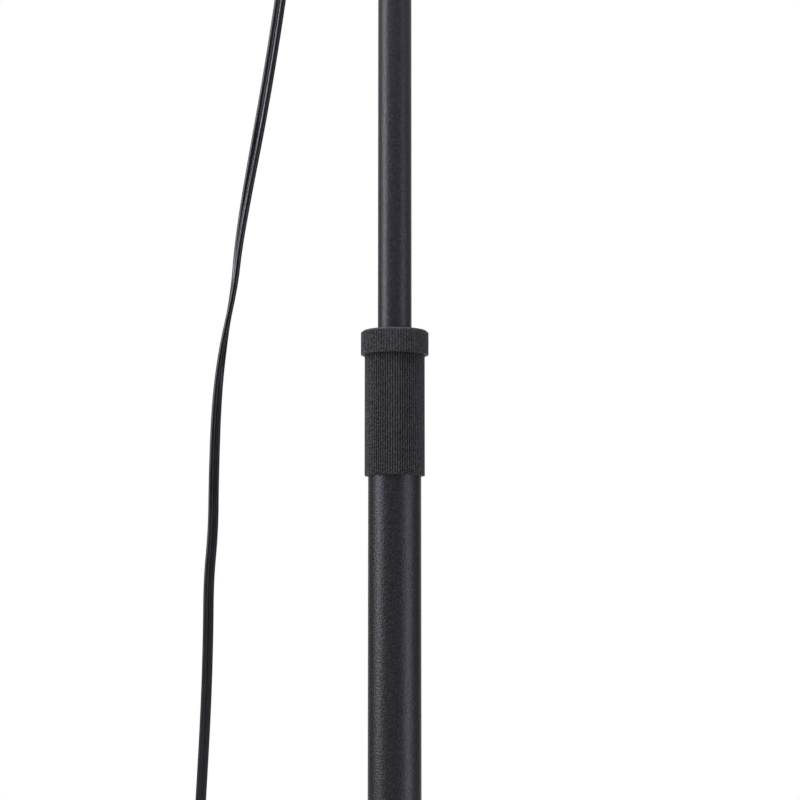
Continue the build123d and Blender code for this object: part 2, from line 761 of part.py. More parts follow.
# Head, hanging straight down from its pivot. Heights here count down from the pivot.
head_pivot = Plane(head_centre, x_dir=(-1, 0, 0), z_dir=(0, 0, -1))
head_section = Plane(head_centre, x_dir=(1, 0, 0), z_dir=(0, 1, 0))
head_axis = Axis(head_centre, (0, 0, -1))
cap_top = TONGUE_REACH + HEAD_BARREL_LENGTH
shade_seat = cap_top + CAP_HEIGHT
cap_radius = CAP_DIAMETER / 2
nipple_radius = NIPPLE_DIAMETER / 2
nipple_hole = nipple_radius + PRESS_CLEARANCE
nipple_end = cap_top + CAP_WALL + NUT_THICKNESS + NIPPLE_SPARE
holder_radius = HOLDER_DIAMETER / 2
holder_top = cap_top + HOLDER_TOP_GAP
holder_mouth = shade_seat + HOLDER_SKIRT
socket_floor = holder_mouth - HOLDER_SOCKET_DEPTH
shade_rim = shade_seat + SHADE_HEIGHT
switch_depth = cap_top + SWITCH_DROP
stem_radius = SWITCH_STEM_DIAMETER / 2

head_tongue = tongue(head_pivot, HEAD_BARREL_DIAMETER / 2, HEAD_BARREL_LENGTH, nipple_hole, NIPPLE_REACH)
save(head_tongue, "head_tongue")

nipple_start = cap_top - NIPPLE_REACH
cap_nipple = ring(
    nipple_radius, NIPPLE_BORE / 2, head_pivot.offset(nipple_start), nipple_end - nipple_start
)
save(cap_nipple, "cap_nipple")

with BuildPart() as cap_nut:
    with BuildSketch(head_pivot.offset(cap_top + CAP_WALL)):
        RegularPolygon(NUT_FLATS / 2, 6, major_radius=False)
        Circle(nipple_hole, mode=Mode.SUBTRACT)
    extrude(amount=NUT_THICKNESS)
save(cap_nut, "cap_nut")

switch_face = Plane(head_centre - Vector(0, 0, switch_depth), x_dir=(1, 0, 0), z_dir=(0, -1, 0))
with BuildPart() as socket_cap:
    with BuildSketch(head_section):
        with BuildLine():
            FilletPolyline(
                (nipple_hole, cap_top), (cap_radius, cap_top), (cap_radius, shade_seat), radius=CAP_ROUNDING
            )
            offset(amount=CAP_WALL, side=Side.LEFT)
        make_face()
    revolve(axis=head_axis)
    with BuildSketch(head_pivot.offset(shade_seat - CAP_VENT_RISE - CAP_VENT_LENGTH)):
        with PolarLocations(cap_radius, CAP_VENTS):
            Rectangle(cap_radius, CAP_VENT_WIDTH)
    extrude(amount=CAP_VENT_LENGTH, mode=Mode.SUBTRACT)
    with BuildSketch(switch_face):
        Circle(stem_radius + LOOSE_CLEARANCE)
    extrude(amount=cap_radius, mode=Mode.SUBTRACT)
save(socket_cap, "socket_cap")

with BuildPart() as lampholder:
    with BuildSketch(head_section):
        with BuildLine():
            Polyline(
                (NIPPLE_BORE / 2, holder_top),
                (holder_radius, holder_top),
                (holder_radius, shade_seat - HOLDER_FLANGE),
                (HOLDER_FLANGE_DIAMETER / 2, shade_seat - HOLDER_FLANGE),
                (HOLDER_FLANGE_DIAMETER / 2, shade_seat),
                (holder_radius, shade_seat),
                (holder_radius, holder_mouth),
                (HOLDER_THREAD_DIAMETER / 2, holder_mouth),
                (HOLDER_THREAD_DIAMETER / 2, socket_floor),
                (NIPPLE_BORE / 2, socket_floor),
                close=True,
            )
        make_face()
    revolve(axis=head_axis)
    with BuildSketch(switch_face.offset(holder_radius - SWITCH_STEM_DEPTH)):
        Circle(stem_radius + RUNNING_CLEARANCE)
    extrude(amount=SWITCH_STEM_DEPTH, mode=Mode.SUBTRACT)
save(lampholder, "lampholder")

# The shade is spun from sheet, with a flat seat at the top and a rolled bead round its mouth
with BuildPart() as shade:
    with BuildSketch(head_section):
        with BuildLine():
            Line((holder_radius + LOOSE_CLEARANCE, shade_seat), (SHADE_SHOULDER_DIAMETER / 2, shade_seat))
            SagittaArc(
                (SHADE_SHOULDER_DIAMETER / 2, shade_seat), (SHADE_DIAMETER / 2, shade_rim), -SHADE_BULGE
            )
            offset(amount=SHADE_WALL, side=Side.LEFT)
        make_face()
        with Locations((SHADE_DIAMETER / 2 - SHADE_BEAD, shade_rim)):
            Circle(SHADE_BEAD)
    revolve(axis=head_axis)
save(shade, "shade")

shade_ring = ring(
    SHADE_RING_DIAMETER / 2,
    holder_radius + PRESS_CLEARANCE,
    head_pivot.offset(shade_seat + SHADE_WALL),
    SHADE_RING_HEIGHT,
)
save(shade_ring, "shade_ring")

# The bulb's glass is a ball with a straight cone drawn from it to the screw
bulb_tip = socket_floor + LOOSE_CLEARANCE
bulb_screw = BULB_SCREW_DIAMETER / 2
screw_end = holder_mouth + LOOSE_CLEARANCE
bulb_radius = BULB_DIAMETER / 2
ball_depth = bulb_tip + BULB_LENGTH - bulb_radius
cone_length = hypot(bulb_screw, ball_depth - screw_end)
cone_angle = atan2(screw_end - ball_depth, bulb_screw) + acos(bulb_radius / cone_length)
ball_middle = (cone_angle + pi / 2) / 2
with BuildPart() as bulb:
    with BuildSketch(head_section):
        with BuildLine():
            Polyline(
                (0, bulb_tip + BULB_LENGTH),
                (0, bulb_tip),
                (BULB_CONTACT_DIAMETER / 2, bulb_tip),
                (bulb_screw, bulb_tip + BULB_CONTACT_RISE),
                (bulb_screw, screw_end),
                (bulb_radius * cos(cone_angle), ball_depth + bulb_radius * sin(cone_angle)),
            )
            ThreePointArc(
                (bulb_radius * cos(cone_angle), ball_depth + bulb_radius * sin(cone_angle)),
                (bulb_radius * cos(ball_middle), ball_depth + bulb_radius * sin(ball_middle)),
                (0, bulb_tip + BULB_LENGTH),
            )
        make_face()
    revolve(axis=head_axis)
save(bulb, "bulb")

# Turn switch
knob_start = cap_radius + LOOSE_CLEARANCE
stem_start = holder_radius - SWITCH_STEM_DEPTH + LOOSE_CLEARANCE
switch_stem = ring(
    stem_radius, 0, switch_face.offset(stem_start), knob_start + SWITCH_KNOB_GRIP - stem_start
)
save(switch_stem, "switch_stem")

with BuildPart() as switch_knob:
    with BuildSketch(switch_face.offset(knob_start)):
        Circle(SWITCH_KNOB_DIAMETER / 2)
    extrude(amount=SWITCH_KNOB_LENGTH)
    fillet(switch_knob.faces().sort_by(Axis.Y)[0].edges(), SWITCH_KNOB_ROUNDING)
    with BuildSketch(switch_face.offset(knob_start)):
        with PolarLocations(SWITCH_KNOB_DIAMETER / 2, SWITCH_KNOB_FLUTES):
            Circle(SWITCH_FLUTE_DIAMETER / 2)
    extrude(amount=SWITCH_KNOB_LENGTH, mode=Mode.SUBTRACT)
    with BuildSketch(switch_face.offset(knob_start)):
        Circle(stem_radius + PRESS_CLEARANCE)
    extrude(amount=SWITCH_KNOB_GRIP, mode=Mode.SUBTRACT)
save(switch_knob, "switch_knob")

# Cord. Its route runs from the boot down to the floor and into a coil of two layers, with the flat
# of the cord upright in the coil.
heading = Vector(cos(radians(COIL_HEADING)), sin(radians(COIL_HEADING)), 0)
outward = Vector(-heading.Y, heading.X, 0)
coil_centre = Vector(COIL_CENTRE[0], COIL_CENTRE[1], 0)
floor_height = TIE_SPACE + CORD_WIDTH / 2
layer_step = CORD_WIDTH + COIL_LAYER_GAP
coil_lead = CORD_WIDTH


def coil_point(across, along, height):
    return coil_centre + outward * across + heading * along + Vector(0, 0, height)


def cord_section(plane):
    """The cord's flat section with its two edges bevelled, wide along the plane's X."""
    half_width = CORD_WIDTH / 2
    half_thickness = CORD_THICKNESS / 2
    quarter = [(half_width, half_thickness - CORD_EDGE), (half_width - CORD_EDGE, half_thickness)]
    upper = quarter + [(-x, y) for x, y in reversed(quarter)]
    with BuildSketch(plane) as section:
        with BuildLine():
            Polyline(*upper, *[(-x, -y) for x, y in upper], close=True)
        make_face()
    return section.sketch


def cord_path(points, name):
    """Straight runs joined by arcs as large as the runs allow, with the radii printed."""
    radii = []
    for before, here, after in zip(points, points[1:], points[2:]):
        turn = radians((here - before).get_angle(after - here))
        shorter = min((here - before).length, (after - here).length)
        radii.append(CORD_BEND_SHARE * shorter / tan(turn / 2))
    print(name, "least radius", round(min(radii), 1), "of", [round(radius) for radius in radii])
    with BuildLine() as path:
        FilletPolyline(*points, radius=radii)
    return path.wire()


def wide_at_start(points):
    """The way the cord's wide side faces at the first point, for it to stand upright at the last."""
    wide = Vector(0, 0, 1)
    for before, here, after in reversed(list(zip(points, points[1:], points[2:]))):
        turn_axis = (after - here).cross(here - before)
        wide = wide.rotate(Axis((0, 0, 0), turn_axis), (after - here).get_angle(here - before))
    return wide


def swept_cord(path, wide, name):
    """The cord's section swept along a path, with its volume compared with section times length."""
    with BuildPart() as piece:
        section = cord_section(Plane(path @ 0, x_dir=wide, z_dir=path % 0))
        sweep(sections=section, path=path)
    share = piece.part.volume / (section.area * path.length)
    print(name, "length", round(path.length, 1), "volume share", round(share, 4))
    return piece


floor_end = coil_point(COIL_RADIUS, -coil_lead, floor_height)
floor_start = floor_end - heading * CORD_FLOOR_RUN
drop_points = [boot_end, boot_end + boot_direction * CORD_STRAIGHT]
drop_points += [Vector(*point) for point in CORD_ROUTE] + [floor_start, floor_end]
cord_drop = swept_cord(cord_path(drop_points, "cord_drop"), wide_at_start(drop_points), "cord_drop")
save(cord_drop, "cord_drop")

# The coil's half turns step inwards on the floor, climb a layer at the smallest one and step out again
half_step = COIL_STEP / 2
coil_sizes = [COIL_RADIUS - half_step * count for count in range(COIL_HALF_TURNS + 1)]
coil_sizes += coil_sizes[-2::-1]
with BuildLine() as coil_path:
    across = COIL_RADIUS
    level = floor_height
    Line(floor_end, coil_point(across, 0, level))
    for count, size in enumerate(coil_sizes):
        side = 1 if count % 2 == 0 else -1
        rise = layer_step if count == COIL_HALF_TURNS else 0
        reach = sqrt(size**2 + (rise / 2) ** 2)
        ThreePointArc(
            coil_point(across, 0, level),
            coil_point(across - side * size, side * reach, level + rise / 2),
            coil_point(across - 2 * side * size, 0, level + rise),
        )
        across -= 2 * side * size
        level += rise
    coil_end = coil_point(across, -coil_lead, level)
    Line(coil_point(across, 0, level), coil_end)
coil_wire = coil_path.wire()
cord_coil = swept_cord(coil_wire, Vector(0, 0, 1), "cord_coil")
save(cord_coil, "cord_coil")

coil_samples = [coil_wire @ (count / COIL_SAMPLES) for count in range(COIL_SAMPLES + 1)]
apart = int(COIL_SAMPLES * pi * coil_sizes[COIL_HALF_TURNS] / coil_wire.length)
least_gap = min(
    max(hypot(a.X - b.X, a.Y - b.Y) - CORD_THICKNESS, abs(a.Z - b.Z) - CORD_WIDTH)
    for count, a in enumerate(coil_samples)
    for b in coil_samples[count + apart :]
)
print("cord_coil least gap to itself", round(least_gap, 2))

# The tail turns away from the coil to the plug
tail_points = [coil_end]
tail_angle = 0.0
for turn in (0.0,) + TAIL_TURNS:
    tail_angle += radians(turn)
    run = heading * -cos(tail_angle) + outward * -sin(tail_angle)
    tail_points.append(tail_points[-1] + run * TAIL_RUN)
plug_direction = (tail_points[-1] - tail_points[-2]).normalized()
cord_tail = swept_cord(cord_path(tail_points, "cord_tail"), wide_at_start(tail_points), "cord_tail")
save(cord_tail, "cord_tail")

# A flat tie holds the turns together on the side away from the plug
tie_low = floor_height - CORD_WIDTH / 2 - TIE_SPACE + FACE_CLEARANCE
tie_high = floor_height + layer_step + CORD_WIDTH / 2 + TIE_SPACE
tied_turns = coil_sizes[1::2]
tie_reach = TIE_WIDTH / 2 + half_step
tie_near = sqrt((min(tied_turns) - CORD_THICKNESS / 2) ** 2 - tie_reach**2) - TIE_SIDE_SPACE
tie_far = max(tied_turns) + CORD_THICKNESS / 2 + TIE_SIDE_SPACE
tie_middle = coil_point(0, -(tie_near + tie_far) / 2, (tie_low + tie_high) / 2)
tie_plane = Plane(tie_middle, x_dir=heading, z_dir=outward)
with BuildPart() as cord_tie:
    with BuildSketch(tie_plane):
        RectangleRounded(
            tie_far - tie_near + 2 * TIE_THICKNESS, tie_high - tie_low, TIE_ROUNDING + TIE_THICKNESS
        )
        RectangleRounded(
            tie_far - tie_near, tie_high - tie_low - 2 * TIE_THICKNESS, TIE_ROUNDING, mode=Mode.SUBTRACT
        )
    extrude(amount=TIE_WIDTH / 2, both=True)
save(cord_tie, "cord_tie")

# Plug with two flat blades
plug_back = Plane(tail_points[-1], x_dir=Vector(0, 0, 1).cross(plug_direction), z_dir=plug_direction)
plug_face = plug_back.offset(PLUG_LENGTH)
with BuildPart() as plug_body:
    with BuildSketch(plug_back):
        RectangleRounded(PLUG_NOSE_WIDTH, PLUG_NOSE_HEIGHT, PLUG_ROUNDING)
    with BuildSketch(plug_face):
        RectangleRounded(PLUG_WIDTH, PLUG_HEIGHT, PLUG_ROUNDING)
    loft()
    front_edges = plug_body.faces().sort_by(Axis(plug_back.origin, plug_direction))[-1].edges()
    fillet(front_edges, PLUG_FACE_ROUNDING)
    with BuildSketch(plug_face):
        for way, height in zip((1, -1), BLADE_HEIGHTS):
            with Locations((way * BLADE_SPACING / 2, 0)):
                Rectangle(BLADE_THICKNESS + 2 * PRESS_CLEARANCE, height + 2 * PRESS_CLEARANCE)
    extrude(amount=-BLADE_ROOT, mode=Mode.SUBTRACT)
save(plug_body, "plug_body")

hole_middle = plug_face.offset(BLADE_HOLE_REACH).origin
blade_side = Plane(hole_middle, x_dir=plug_direction, z_dir=plug_back.x_dir)
with BuildPart() as plug_blades:
    with BuildSketch(plug_face.offset(-BLADE_ROOT)):
        for way, height in zip((1, -1), BLADE_HEIGHTS):
            with Locations((way * BLADE_SPACING / 2, 0)):
                Rectangle(BLADE_THICKNESS, height)
    extrude(amount=BLADE_ROOT + BLADE_LENGTH)
    with BuildSketch(blade_side):
        Circle(BLADE_HOLE_DIAMETER / 2)
    extrude(amount=BLADE_SPACING, both=True, mode=Mode.SUBTRACT)
save(plug_blades, "plug_blades")

print("collar from", round(collar_bottom, 2), "to", round(collar_top, 2))
print("upper tube to", round(upper_top, 2), "switch at", round(head_centre.Z - switch_depth, 2))
print("arm pivot", neck_pivot.origin, "head pivot", head_centre)
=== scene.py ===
from math import atan2, cos, degrees, pi, radians, sin, sqrt, tan

import bmesh
import bpy
from mathutils import Matrix, Vector


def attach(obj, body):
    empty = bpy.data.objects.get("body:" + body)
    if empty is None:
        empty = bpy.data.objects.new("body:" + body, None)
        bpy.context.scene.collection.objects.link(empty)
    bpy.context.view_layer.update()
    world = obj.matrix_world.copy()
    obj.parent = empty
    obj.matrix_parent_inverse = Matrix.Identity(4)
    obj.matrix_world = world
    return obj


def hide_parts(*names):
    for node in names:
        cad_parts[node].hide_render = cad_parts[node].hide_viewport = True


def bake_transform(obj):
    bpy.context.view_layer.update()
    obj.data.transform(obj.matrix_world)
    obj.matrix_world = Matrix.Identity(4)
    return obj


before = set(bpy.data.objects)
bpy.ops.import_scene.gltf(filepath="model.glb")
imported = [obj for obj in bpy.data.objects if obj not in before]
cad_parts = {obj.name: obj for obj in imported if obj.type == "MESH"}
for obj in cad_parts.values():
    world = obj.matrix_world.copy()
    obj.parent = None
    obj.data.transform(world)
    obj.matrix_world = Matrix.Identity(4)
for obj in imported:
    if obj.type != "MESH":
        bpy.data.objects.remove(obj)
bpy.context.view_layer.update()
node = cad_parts

# The photograph is a close view of the middle of the pole, taken with a long lens from a little below
# the collar, so the pole's edges run almost parallel and the flange's rim curves upwards.
PICTURE_PIXELS = 800.0
FOCAL_PIXELS = 2313.0
CAMERA_PLACE = (0.0025, -1.0845, 0.648)
CAMERA_RISE = 6.27
camera_data = bpy.data.cameras.new("photo_camera")
camera_data.sensor_width = 36.0
camera_data.lens = camera_data.sensor_width * FOCAL_PIXELS / PICTURE_PIXELS
camera_data.clip_end = 50.0
camera = bpy.data.objects.new("photo_camera", camera_data)
camera.location = CAMERA_PLACE
camera.rotation_euler = (radians(90 + CAMERA_RISE), 0, 0)
bpy.context.collection.objects.link(camera)
bpy.context.scene.camera = camera

# Foot cover: a spun steel dish over the weight, with a rounded edge and a flat middle, powder coated
# in fine-textured black like both tubes. The pole's plug clamps it from above.
BASE_RADIUS = 0.125
BASE_EDGE = 0.013
BASE_TOP = 0.018
BASE_MIDDLE = 0.032
COVER_WALL = 0.0012
COVER_FOOT = 0.0012
COVER_HOLE = 0.006
COVER_EDGE_IN = 0.0004
COVER_EDGE_UP = 0.0006
EDGE_ROUNDING = 0.005
BLEND_RUN = 0.003
BLEND_DROP = 0.0001
COAT_BLACK = (0.004, 0.004, 0.0052, 1.0)
COAT_GREY = (0.0195, 0.0196, 0.0239, 1.0)
COAT_SHEEN = (0.86, 0.87, 1.0, 1.0)
COAT_SPECKLES = 1500.0
COAT_PEAKS = 1200.0
COAT_RELIEF = 0.00034


def shader_of(name):
    """A new material with its nodes, links and main shader."""
    material = bpy.data.materials.new(name)
    material.use_nodes = True
    tree = material.node_tree
    return material, tree.nodes, tree.links, tree.nodes["Principled BSDF"]


def grain_of(nodes, links, scale, detail):
    """Fine noise in the piece's own coordinates, with a count of grains to the metre."""
    place = nodes.new("ShaderNodeTexCoord")
    grain = nodes.new("ShaderNodeTexNoise")
    grain.inputs["Scale"].default_value = scale
    grain.inputs["Detail"].default_value = detail
    links.new(place.outputs["Object"], grain.inputs["Vector"])
    return grain.outputs["Fac"]


def tint_by(nodes, links, value, low, high, low_colour, high_colour):
    """A colour that follows a value between two limits."""
    ramp = nodes.new("ShaderNodeValToRGB")
    ramp.color_ramp.elements[0].position = low
    ramp.color_ramp.elements[0].color = low_colour
    ramp.color_ramp.elements[1].position = high
    ramp.color_ramp.elements[1].color = high_colour
    links.new(value, ramp.inputs["Fac"])
    return ramp.outputs["Color"]


NOISE_LOW = 0.3
NOISE_HIGH = 0.7


def range_by(nodes, links, value, low, high):
    """A number that follows a noise value between two limits."""
    span = nodes.new("ShaderNodeMapRange")
    span.inputs["From Min"].default_value = NOISE_LOW
    span.inputs["From Max"].default_value = NOISE_HIGH
    span.inputs["To Min"].default_value = low
    span.inputs["To Max"].default_value = high
    links.new(value, span.inputs["Value"])
    return span.outputs["Result"]


def bump_by(nodes, links, value, height, strength):
    """A surface normal raised by a value, in metres."""
    bump = nodes.new("ShaderNodeBump")
    bump.inputs["Distance"].default_value = height
    bump.inputs["Strength"].default_value = strength
    links.new(value, bump.inputs["Height"])
    return bump.outputs["Normal"]


def arc(middle, radius, start, stop, steps):
    """Points along an arc in a half section, with its angles in degrees."""
    angles = [radians(start + (stop - start) * count / steps) for count in range(steps + 1)]
    return [(middle[0] + radius * cos(angle), middle[1] + radius * sin(angle)) for angle in angles]


def turned(name, outline, sides, crease=32.0):
    """A smooth turned mesh round the upright axis, from the closed outline of its half section."""
    shape = bmesh.new()
    rings = []
    for radius, height in outline:
        if radius == 0:
            rings.append([shape.verts.new((0, 0, height))] * sides)
        else:
            turns = [2 * pi * count / sides for count in range(sides)]
            places = [(radius * cos(turn), radius * sin(turn), height) for turn in turns]
            rings.append([shape.verts.new(place) for place in places])
    for ring, following in zip(rings, rings[1:] + rings[:1]):
        for count in range(sides):
            after = (count + 1) % sides
            corners = dict.fromkeys((ring[count], ring[after], following[after], following[count]))
            if len(corners) > 2:
                shape.faces.new(list(corners))
    bmesh.ops.recalc_face_normals(shape, faces=shape.faces)
    mesh = bpy.data.meshes.new(name)
    shape.to_mesh(mesh)
    shape.free()
    mesh.shade_smooth()
    mesh.set_sharp_from_angle(angle=radians(crease))
    return mesh


def show(name, mesh, material, body, slot, *stands_for):
    """Puts a finished mesh in the scene in place of the nodes that it stands for."""
    piece = bpy.data.objects.new(name, mesh)
    bpy.context.collection.objects.link(piece)
    mesh.materials.clear()
    mesh.materials.append(material)
    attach(piece, body)
    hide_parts(*stands_for)


def paint(material, *names):
    """Gives carried-over pieces their finish."""
    for name in names:
        node[name].data.materials.clear()
        node[name].data.materials.append(material)


tube_coat, nodes, links, shader = shader_of("black_powder_coat")
speckle = grain_of(nodes, links, COAT_SPECKLES, detail=3.0)
coat_colour = tint_by(nodes, links, speckle, 0.36, 0.66, COAT_BLACK, COAT_GREY)
links.new(coat_colour, shader.inputs["Base Color"])
links.new(range_by(nodes, links, speckle, low=0.34, high=0.46), shader.inputs["Roughness"])
peaks = grain_of(nodes, links, COAT_PEAKS, detail=2.0)
links.new(bump_by(nodes, links, peaks, COAT_RELIEF, strength=0.6), shader.inputs["Normal"])
shader.inputs["Specular IOR Level"].default_value = 0.42
shader.inputs["Specular Tint"].default_value = COAT_SHEEN

slope = atan2(BASE_TOP - BASE_EDGE, BASE_RADIUS - BASE_MIDDLE)
edge_turn = 90 - degrees(slope)
edge_middle = (BASE_RADIUS - EDGE_ROUNDING, BASE_EDGE - EDGE_ROUNDING * tan(radians(edge_turn) / 2))
rim = arc(edge_middle, EDGE_ROUNDING, 0, edge_turn, steps=10)
rim_inside = arc(edge_middle, EDGE_ROUNDING - COVER_WALL, edge_turn, 0, steps=10)
cover_outline = [(BASE_RADIUS - COVER_EDGE_IN, COVER_FOOT), (BASE_RADIUS, COVER_FOOT + COVER_EDGE_UP)]
cover_outline += rim
cover_outline += [
    (BASE_MIDDLE, BASE_TOP - BLEND_DROP),
    (BASE_MIDDLE - BLEND_RUN, BASE_TOP),
    (COVER_HOLE, BASE_TOP),
    (COVER_HOLE, BASE_TOP - COVER_WALL),
    (BASE_MIDDLE, BASE_TOP - COVER_WALL),
]
cover_outline += rim_inside + [(BASE_RADIUS - COVER_WALL, COVER_FOOT)]
cover_mesh = turned("foot_cover", cover_outline, sides=256)
show("foot_cover", cover_mesh, tube_coat, "stand", "black_coat", "base_cover")

# Weight, pad and clamp under the cover: a rough iron casting on a rubber disc, pulled up to the pole
# by a plated hexagon bolt and washer that screw into a steel plug pressed into the lower tube.


def grained(name, grains, detail, dark, light, roughness, height, strength, low=NOISE_LOW, high=NOISE_HIGH):
    """A finish whose colour, roughness and surface follow one grain, given with its shader."""
    material, nodes, links, shader = shader_of(name)
    grain = grain_of(nodes, links, grains, detail)
    links.new(tint_by(nodes, links, grain, low, high, dark, light), shader.inputs["Base Color"])
    links.new(range_by(nodes, links, grain, *roughness), shader.inputs["Roughness"])
    links.new(bump_by(nodes, links, grain, height, strength), shader.inputs["Normal"])
    return material, shader


iron, shader = grained(
    "rough_cast_iron",
    grains=260.0,
    detail=6.0,
    dark=(0.05, 0.048, 0.046, 1),
    light=(0.12, 0.118, 0.115, 1),
    roughness=(0.6, 0.85),
    height=0.0006,
    strength=0.7,
)
shader.inputs["Metallic"].default_value = 0.6
paint(iron, "base_weight")

pad_rubber, shader = grained(
    "foot_pad_rubber",
    grains=700.0,
    detail=4.0,
    dark=(0.016, 0.016, 0.016, 1),
    light=(0.034, 0.034, 0.033, 1),
    roughness=(0.7, 0.9),
    height=0.0002,
    strength=0.5,
)
paint(pad_rubber, "base_pad")

GLOSSIER = 0.06
DULLER = 0.08


def plated_metal(name, dark, light, roughness):
    """Plated or turned metal, clouded a little, with fine scratches."""
    material, nodes, links, shader = shader_of(name)
    cloud = grain_of(nodes, links, scale=220.0, detail=4.0)
    metal_colour = tint_by(nodes, links, cloud, NOISE_LOW, NOISE_HIGH, dark, light)
    links.new(metal_colour, shader.inputs["Base Color"])
    gloss = range_by(nodes, links, cloud, roughness - GLOSSIER, roughness + DULLER)
    links.new(gloss, shader.inputs["Roughness"])
    scratch = grain_of(nodes, links, scale=2400.0, detail=2.0)
    links.new(bump_by(nodes, links, scratch, height=0.00003, strength=0.4), shader.inputs["Normal"])
    shader.inputs["Metallic"].default_value = 1.0
    return material


zinc = plated_metal(
    "zinc_plated_steel",
    dark=(0.42, 0.42, 0.43, 1),
    light=(0.6, 0.6, 0.61, 1),
    roughness=0.34,
)
paint(zinc, "base_bolt", "base_washer", "foot_plug")

# Foot ring: a turned trim ring that covers the joint of pole and cover, hollow-sided and coated
# like the cover. It slips down the lower tube and rests on the dish.
POLE_RADIUS = 0.0125
RING_RADIUS = 0.023
RING_HEIGHT = 0.014
RING_FIT = 0.00002
RING_BAND = 0.0025
RING_LIP = 0.0018
RING_HOLLOW = 0.0024
RING_EDGE = 0.0004
ring_bore = POLE_RADIUS + RING_FIT
ring_low = (RING_RADIUS, BASE_TOP + RING_BAND)
ring_high = (ring_bore + RING_LIP, BASE_TOP + RING_HEIGHT)


def hollow_side(low, high, depth, steps):
    """Points along a hollow arc between two corners of a half section."""
    span = Vector((high[0] - low[0], high[1] - low[1]))
    across = Vector((-span.y, span.x)).normalized()
    points = []
    for count in range(steps + 1):
        share = count / steps
        sink = 4 * depth * share * (1 - share)
        point = Vector(low) + span * share + across * sink
        points.append((point.x, point.y))
    return points


ring_outline = [
    (ring_bore, BASE_TOP),
    (RING_RADIUS - RING_EDGE, BASE_TOP),
    (RING_RADIUS, BASE_TOP + RING_EDGE),
]
ring_outline += hollow_side(ring_low, ring_high, RING_HOLLOW, steps=14)
ring_outline += [(ring_bore, BASE_TOP + RING_HEIGHT)]
ring_mesh = turned("foot_trim_ring", ring_outline, sides=128)
show("foot_trim_ring", ring_mesh, tube_coat, "stand", "black_coat", "foot_ring")

# Lower tube: 25 mm steel tube, cut square, stood on the foot plug and coated. It is the thick tube
# below the collar in the photograph.
LOWER_TOP = 0.771
LOWER_WALL = 0.0012
CUT_EDGE = 0.0003


def tube_outline(radius, wall, low, high):
    """The half section of a tube whose cut ends have their outer edges broken."""
    return [
        (radius - wall, low),
        (radius - CUT_EDGE, low),
        (radius, low + CUT_EDGE),
        (radius, high - CUT_EDGE),
        (radius - CUT_EDGE, high),
        (radius - wall, high),
    ]


lower_outline = tube_outline(POLE_RADIUS, LOWER_WALL, BASE_TOP, LOWER_TOP)
lower_mesh = turned("lower_pole", lower_outline, sides=160)
show("lower_pole", lower_mesh, tube_coat, "stand", "black_coat", "lower_tube")

# Twist lock, fixed half: a moulded ferrule pressed into the lower tube with a taper seat, and in it a
# split collet of pale acetal that closes on the upper tube.


def moulded(name, dark, light, grains, roughness, height):
    """Moulded plastic with the faint spark-eroded texture of its mould."""
    material, shader = grained(
        name,
        grains=grains,
        detail=4.0,
        dark=dark,
        light=light,
        roughness=(roughness - GLOSSIER, roughness + DULLER),
        height=height,
        strength=0.5,
        low=0.34,
        high=0.68,
    )
    shader.inputs["Specular IOR Level"].default_value = 0.4
    shader.inputs["Specular Tint"].default_value = COAT_SHEEN
    return material


collar_plastic = moulded(
    "collar_nylon",
    dark=(0.012, 0.0121, 0.0143, 1),
    light=(0.0445, 0.045, 0.0505, 1),
    grains=900.0,
    roughness=0.46,
    height=0.002,
)
pale_acetal = moulded(
    "pale_acetal",
    dark=(0.5, 0.49, 0.45, 1),
    light=(0.6, 0.59, 0.55, 1),
    grains=500.0,
    roughness=0.45,
    height=0.00004,
)
paint(collar_plastic, "lock_ferrule")
paint(pale_acetal, "collet")
paint(zinc, "thrust_washer")

# Twist lock, turning half: the ribbed collar seen in the photograph, a black nylon sleeve with a wider
# flange on top and fine upright ribs on both for grip. It screws down on the ferrule.
COLLAR_BOTTOM = 0.731
COLLAR_TOP = 0.800
SLEEVE_RADIUS = 0.01425
SLEEVE_FOOT = 0.01412
SLEEVE_BORE = 0.0128
LOCK_THREAD_BORE = 0.01205
LOCK_THREAD_BOTTOM = 0.7743
SHOULDER = 0.79305
TUBE_HOLE = 0.0083
FLANGE_RADIUS = 0.016
FLANGE_HEIGHT = 0.0118
FLANGE_ROUNDING = 0.0011
EDGE_IN = 0.0003
EDGE_UP = 0.0004
RIBS = 75
RIB_SIDES = 16
RIB_WIDTH = 0.00094
RIB_DEPTH = 0.00126
RIB_STAND = 0.0009
RIB_END_GAP = 0.0003
FLANGE_RIB_STAND = 0.0005
FLANGE_RIB_TOP_GAP = 0.001
flange_bottom = COLLAR_TOP - FLANGE_HEIGHT
core = SLEEVE_RADIUS - RIB_STAND
core_foot = SLEEVE_FOOT - RIB_STAND
flange_core = FLANGE_RADIUS - FLANGE_RIB_STAND
rounding_middle = (flange_core - FLANGE_ROUNDING, COLLAR_TOP - FLANGE_ROUNDING)
collar_outline = [
    (SLEEVE_BORE, COLLAR_BOTTOM),
    (core_foot - EDGE_IN, COLLAR_BOTTOM),
    (core_foot, COLLAR_BOTTOM + EDGE_UP),
    (core, flange_bottom),
    (flange_core - EDGE_IN, flange_bottom),
    (flange_core, flange_bottom + EDGE_UP),
]
collar_outline += arc(rounding_middle, FLANGE_ROUNDING, 0, 90, steps=8)
collar_outline += [
    (TUBE_HOLE, COLLAR_TOP),
    (TUBE_HOLE, SHOULDER),
    (LOCK_THREAD_BORE, SHOULDER),
    (LOCK_THREAD_BORE, LOCK_THREAD_BOTTOM),
    (SLEEVE_BORE, LOCK_THREAD_BOTTOM),
]


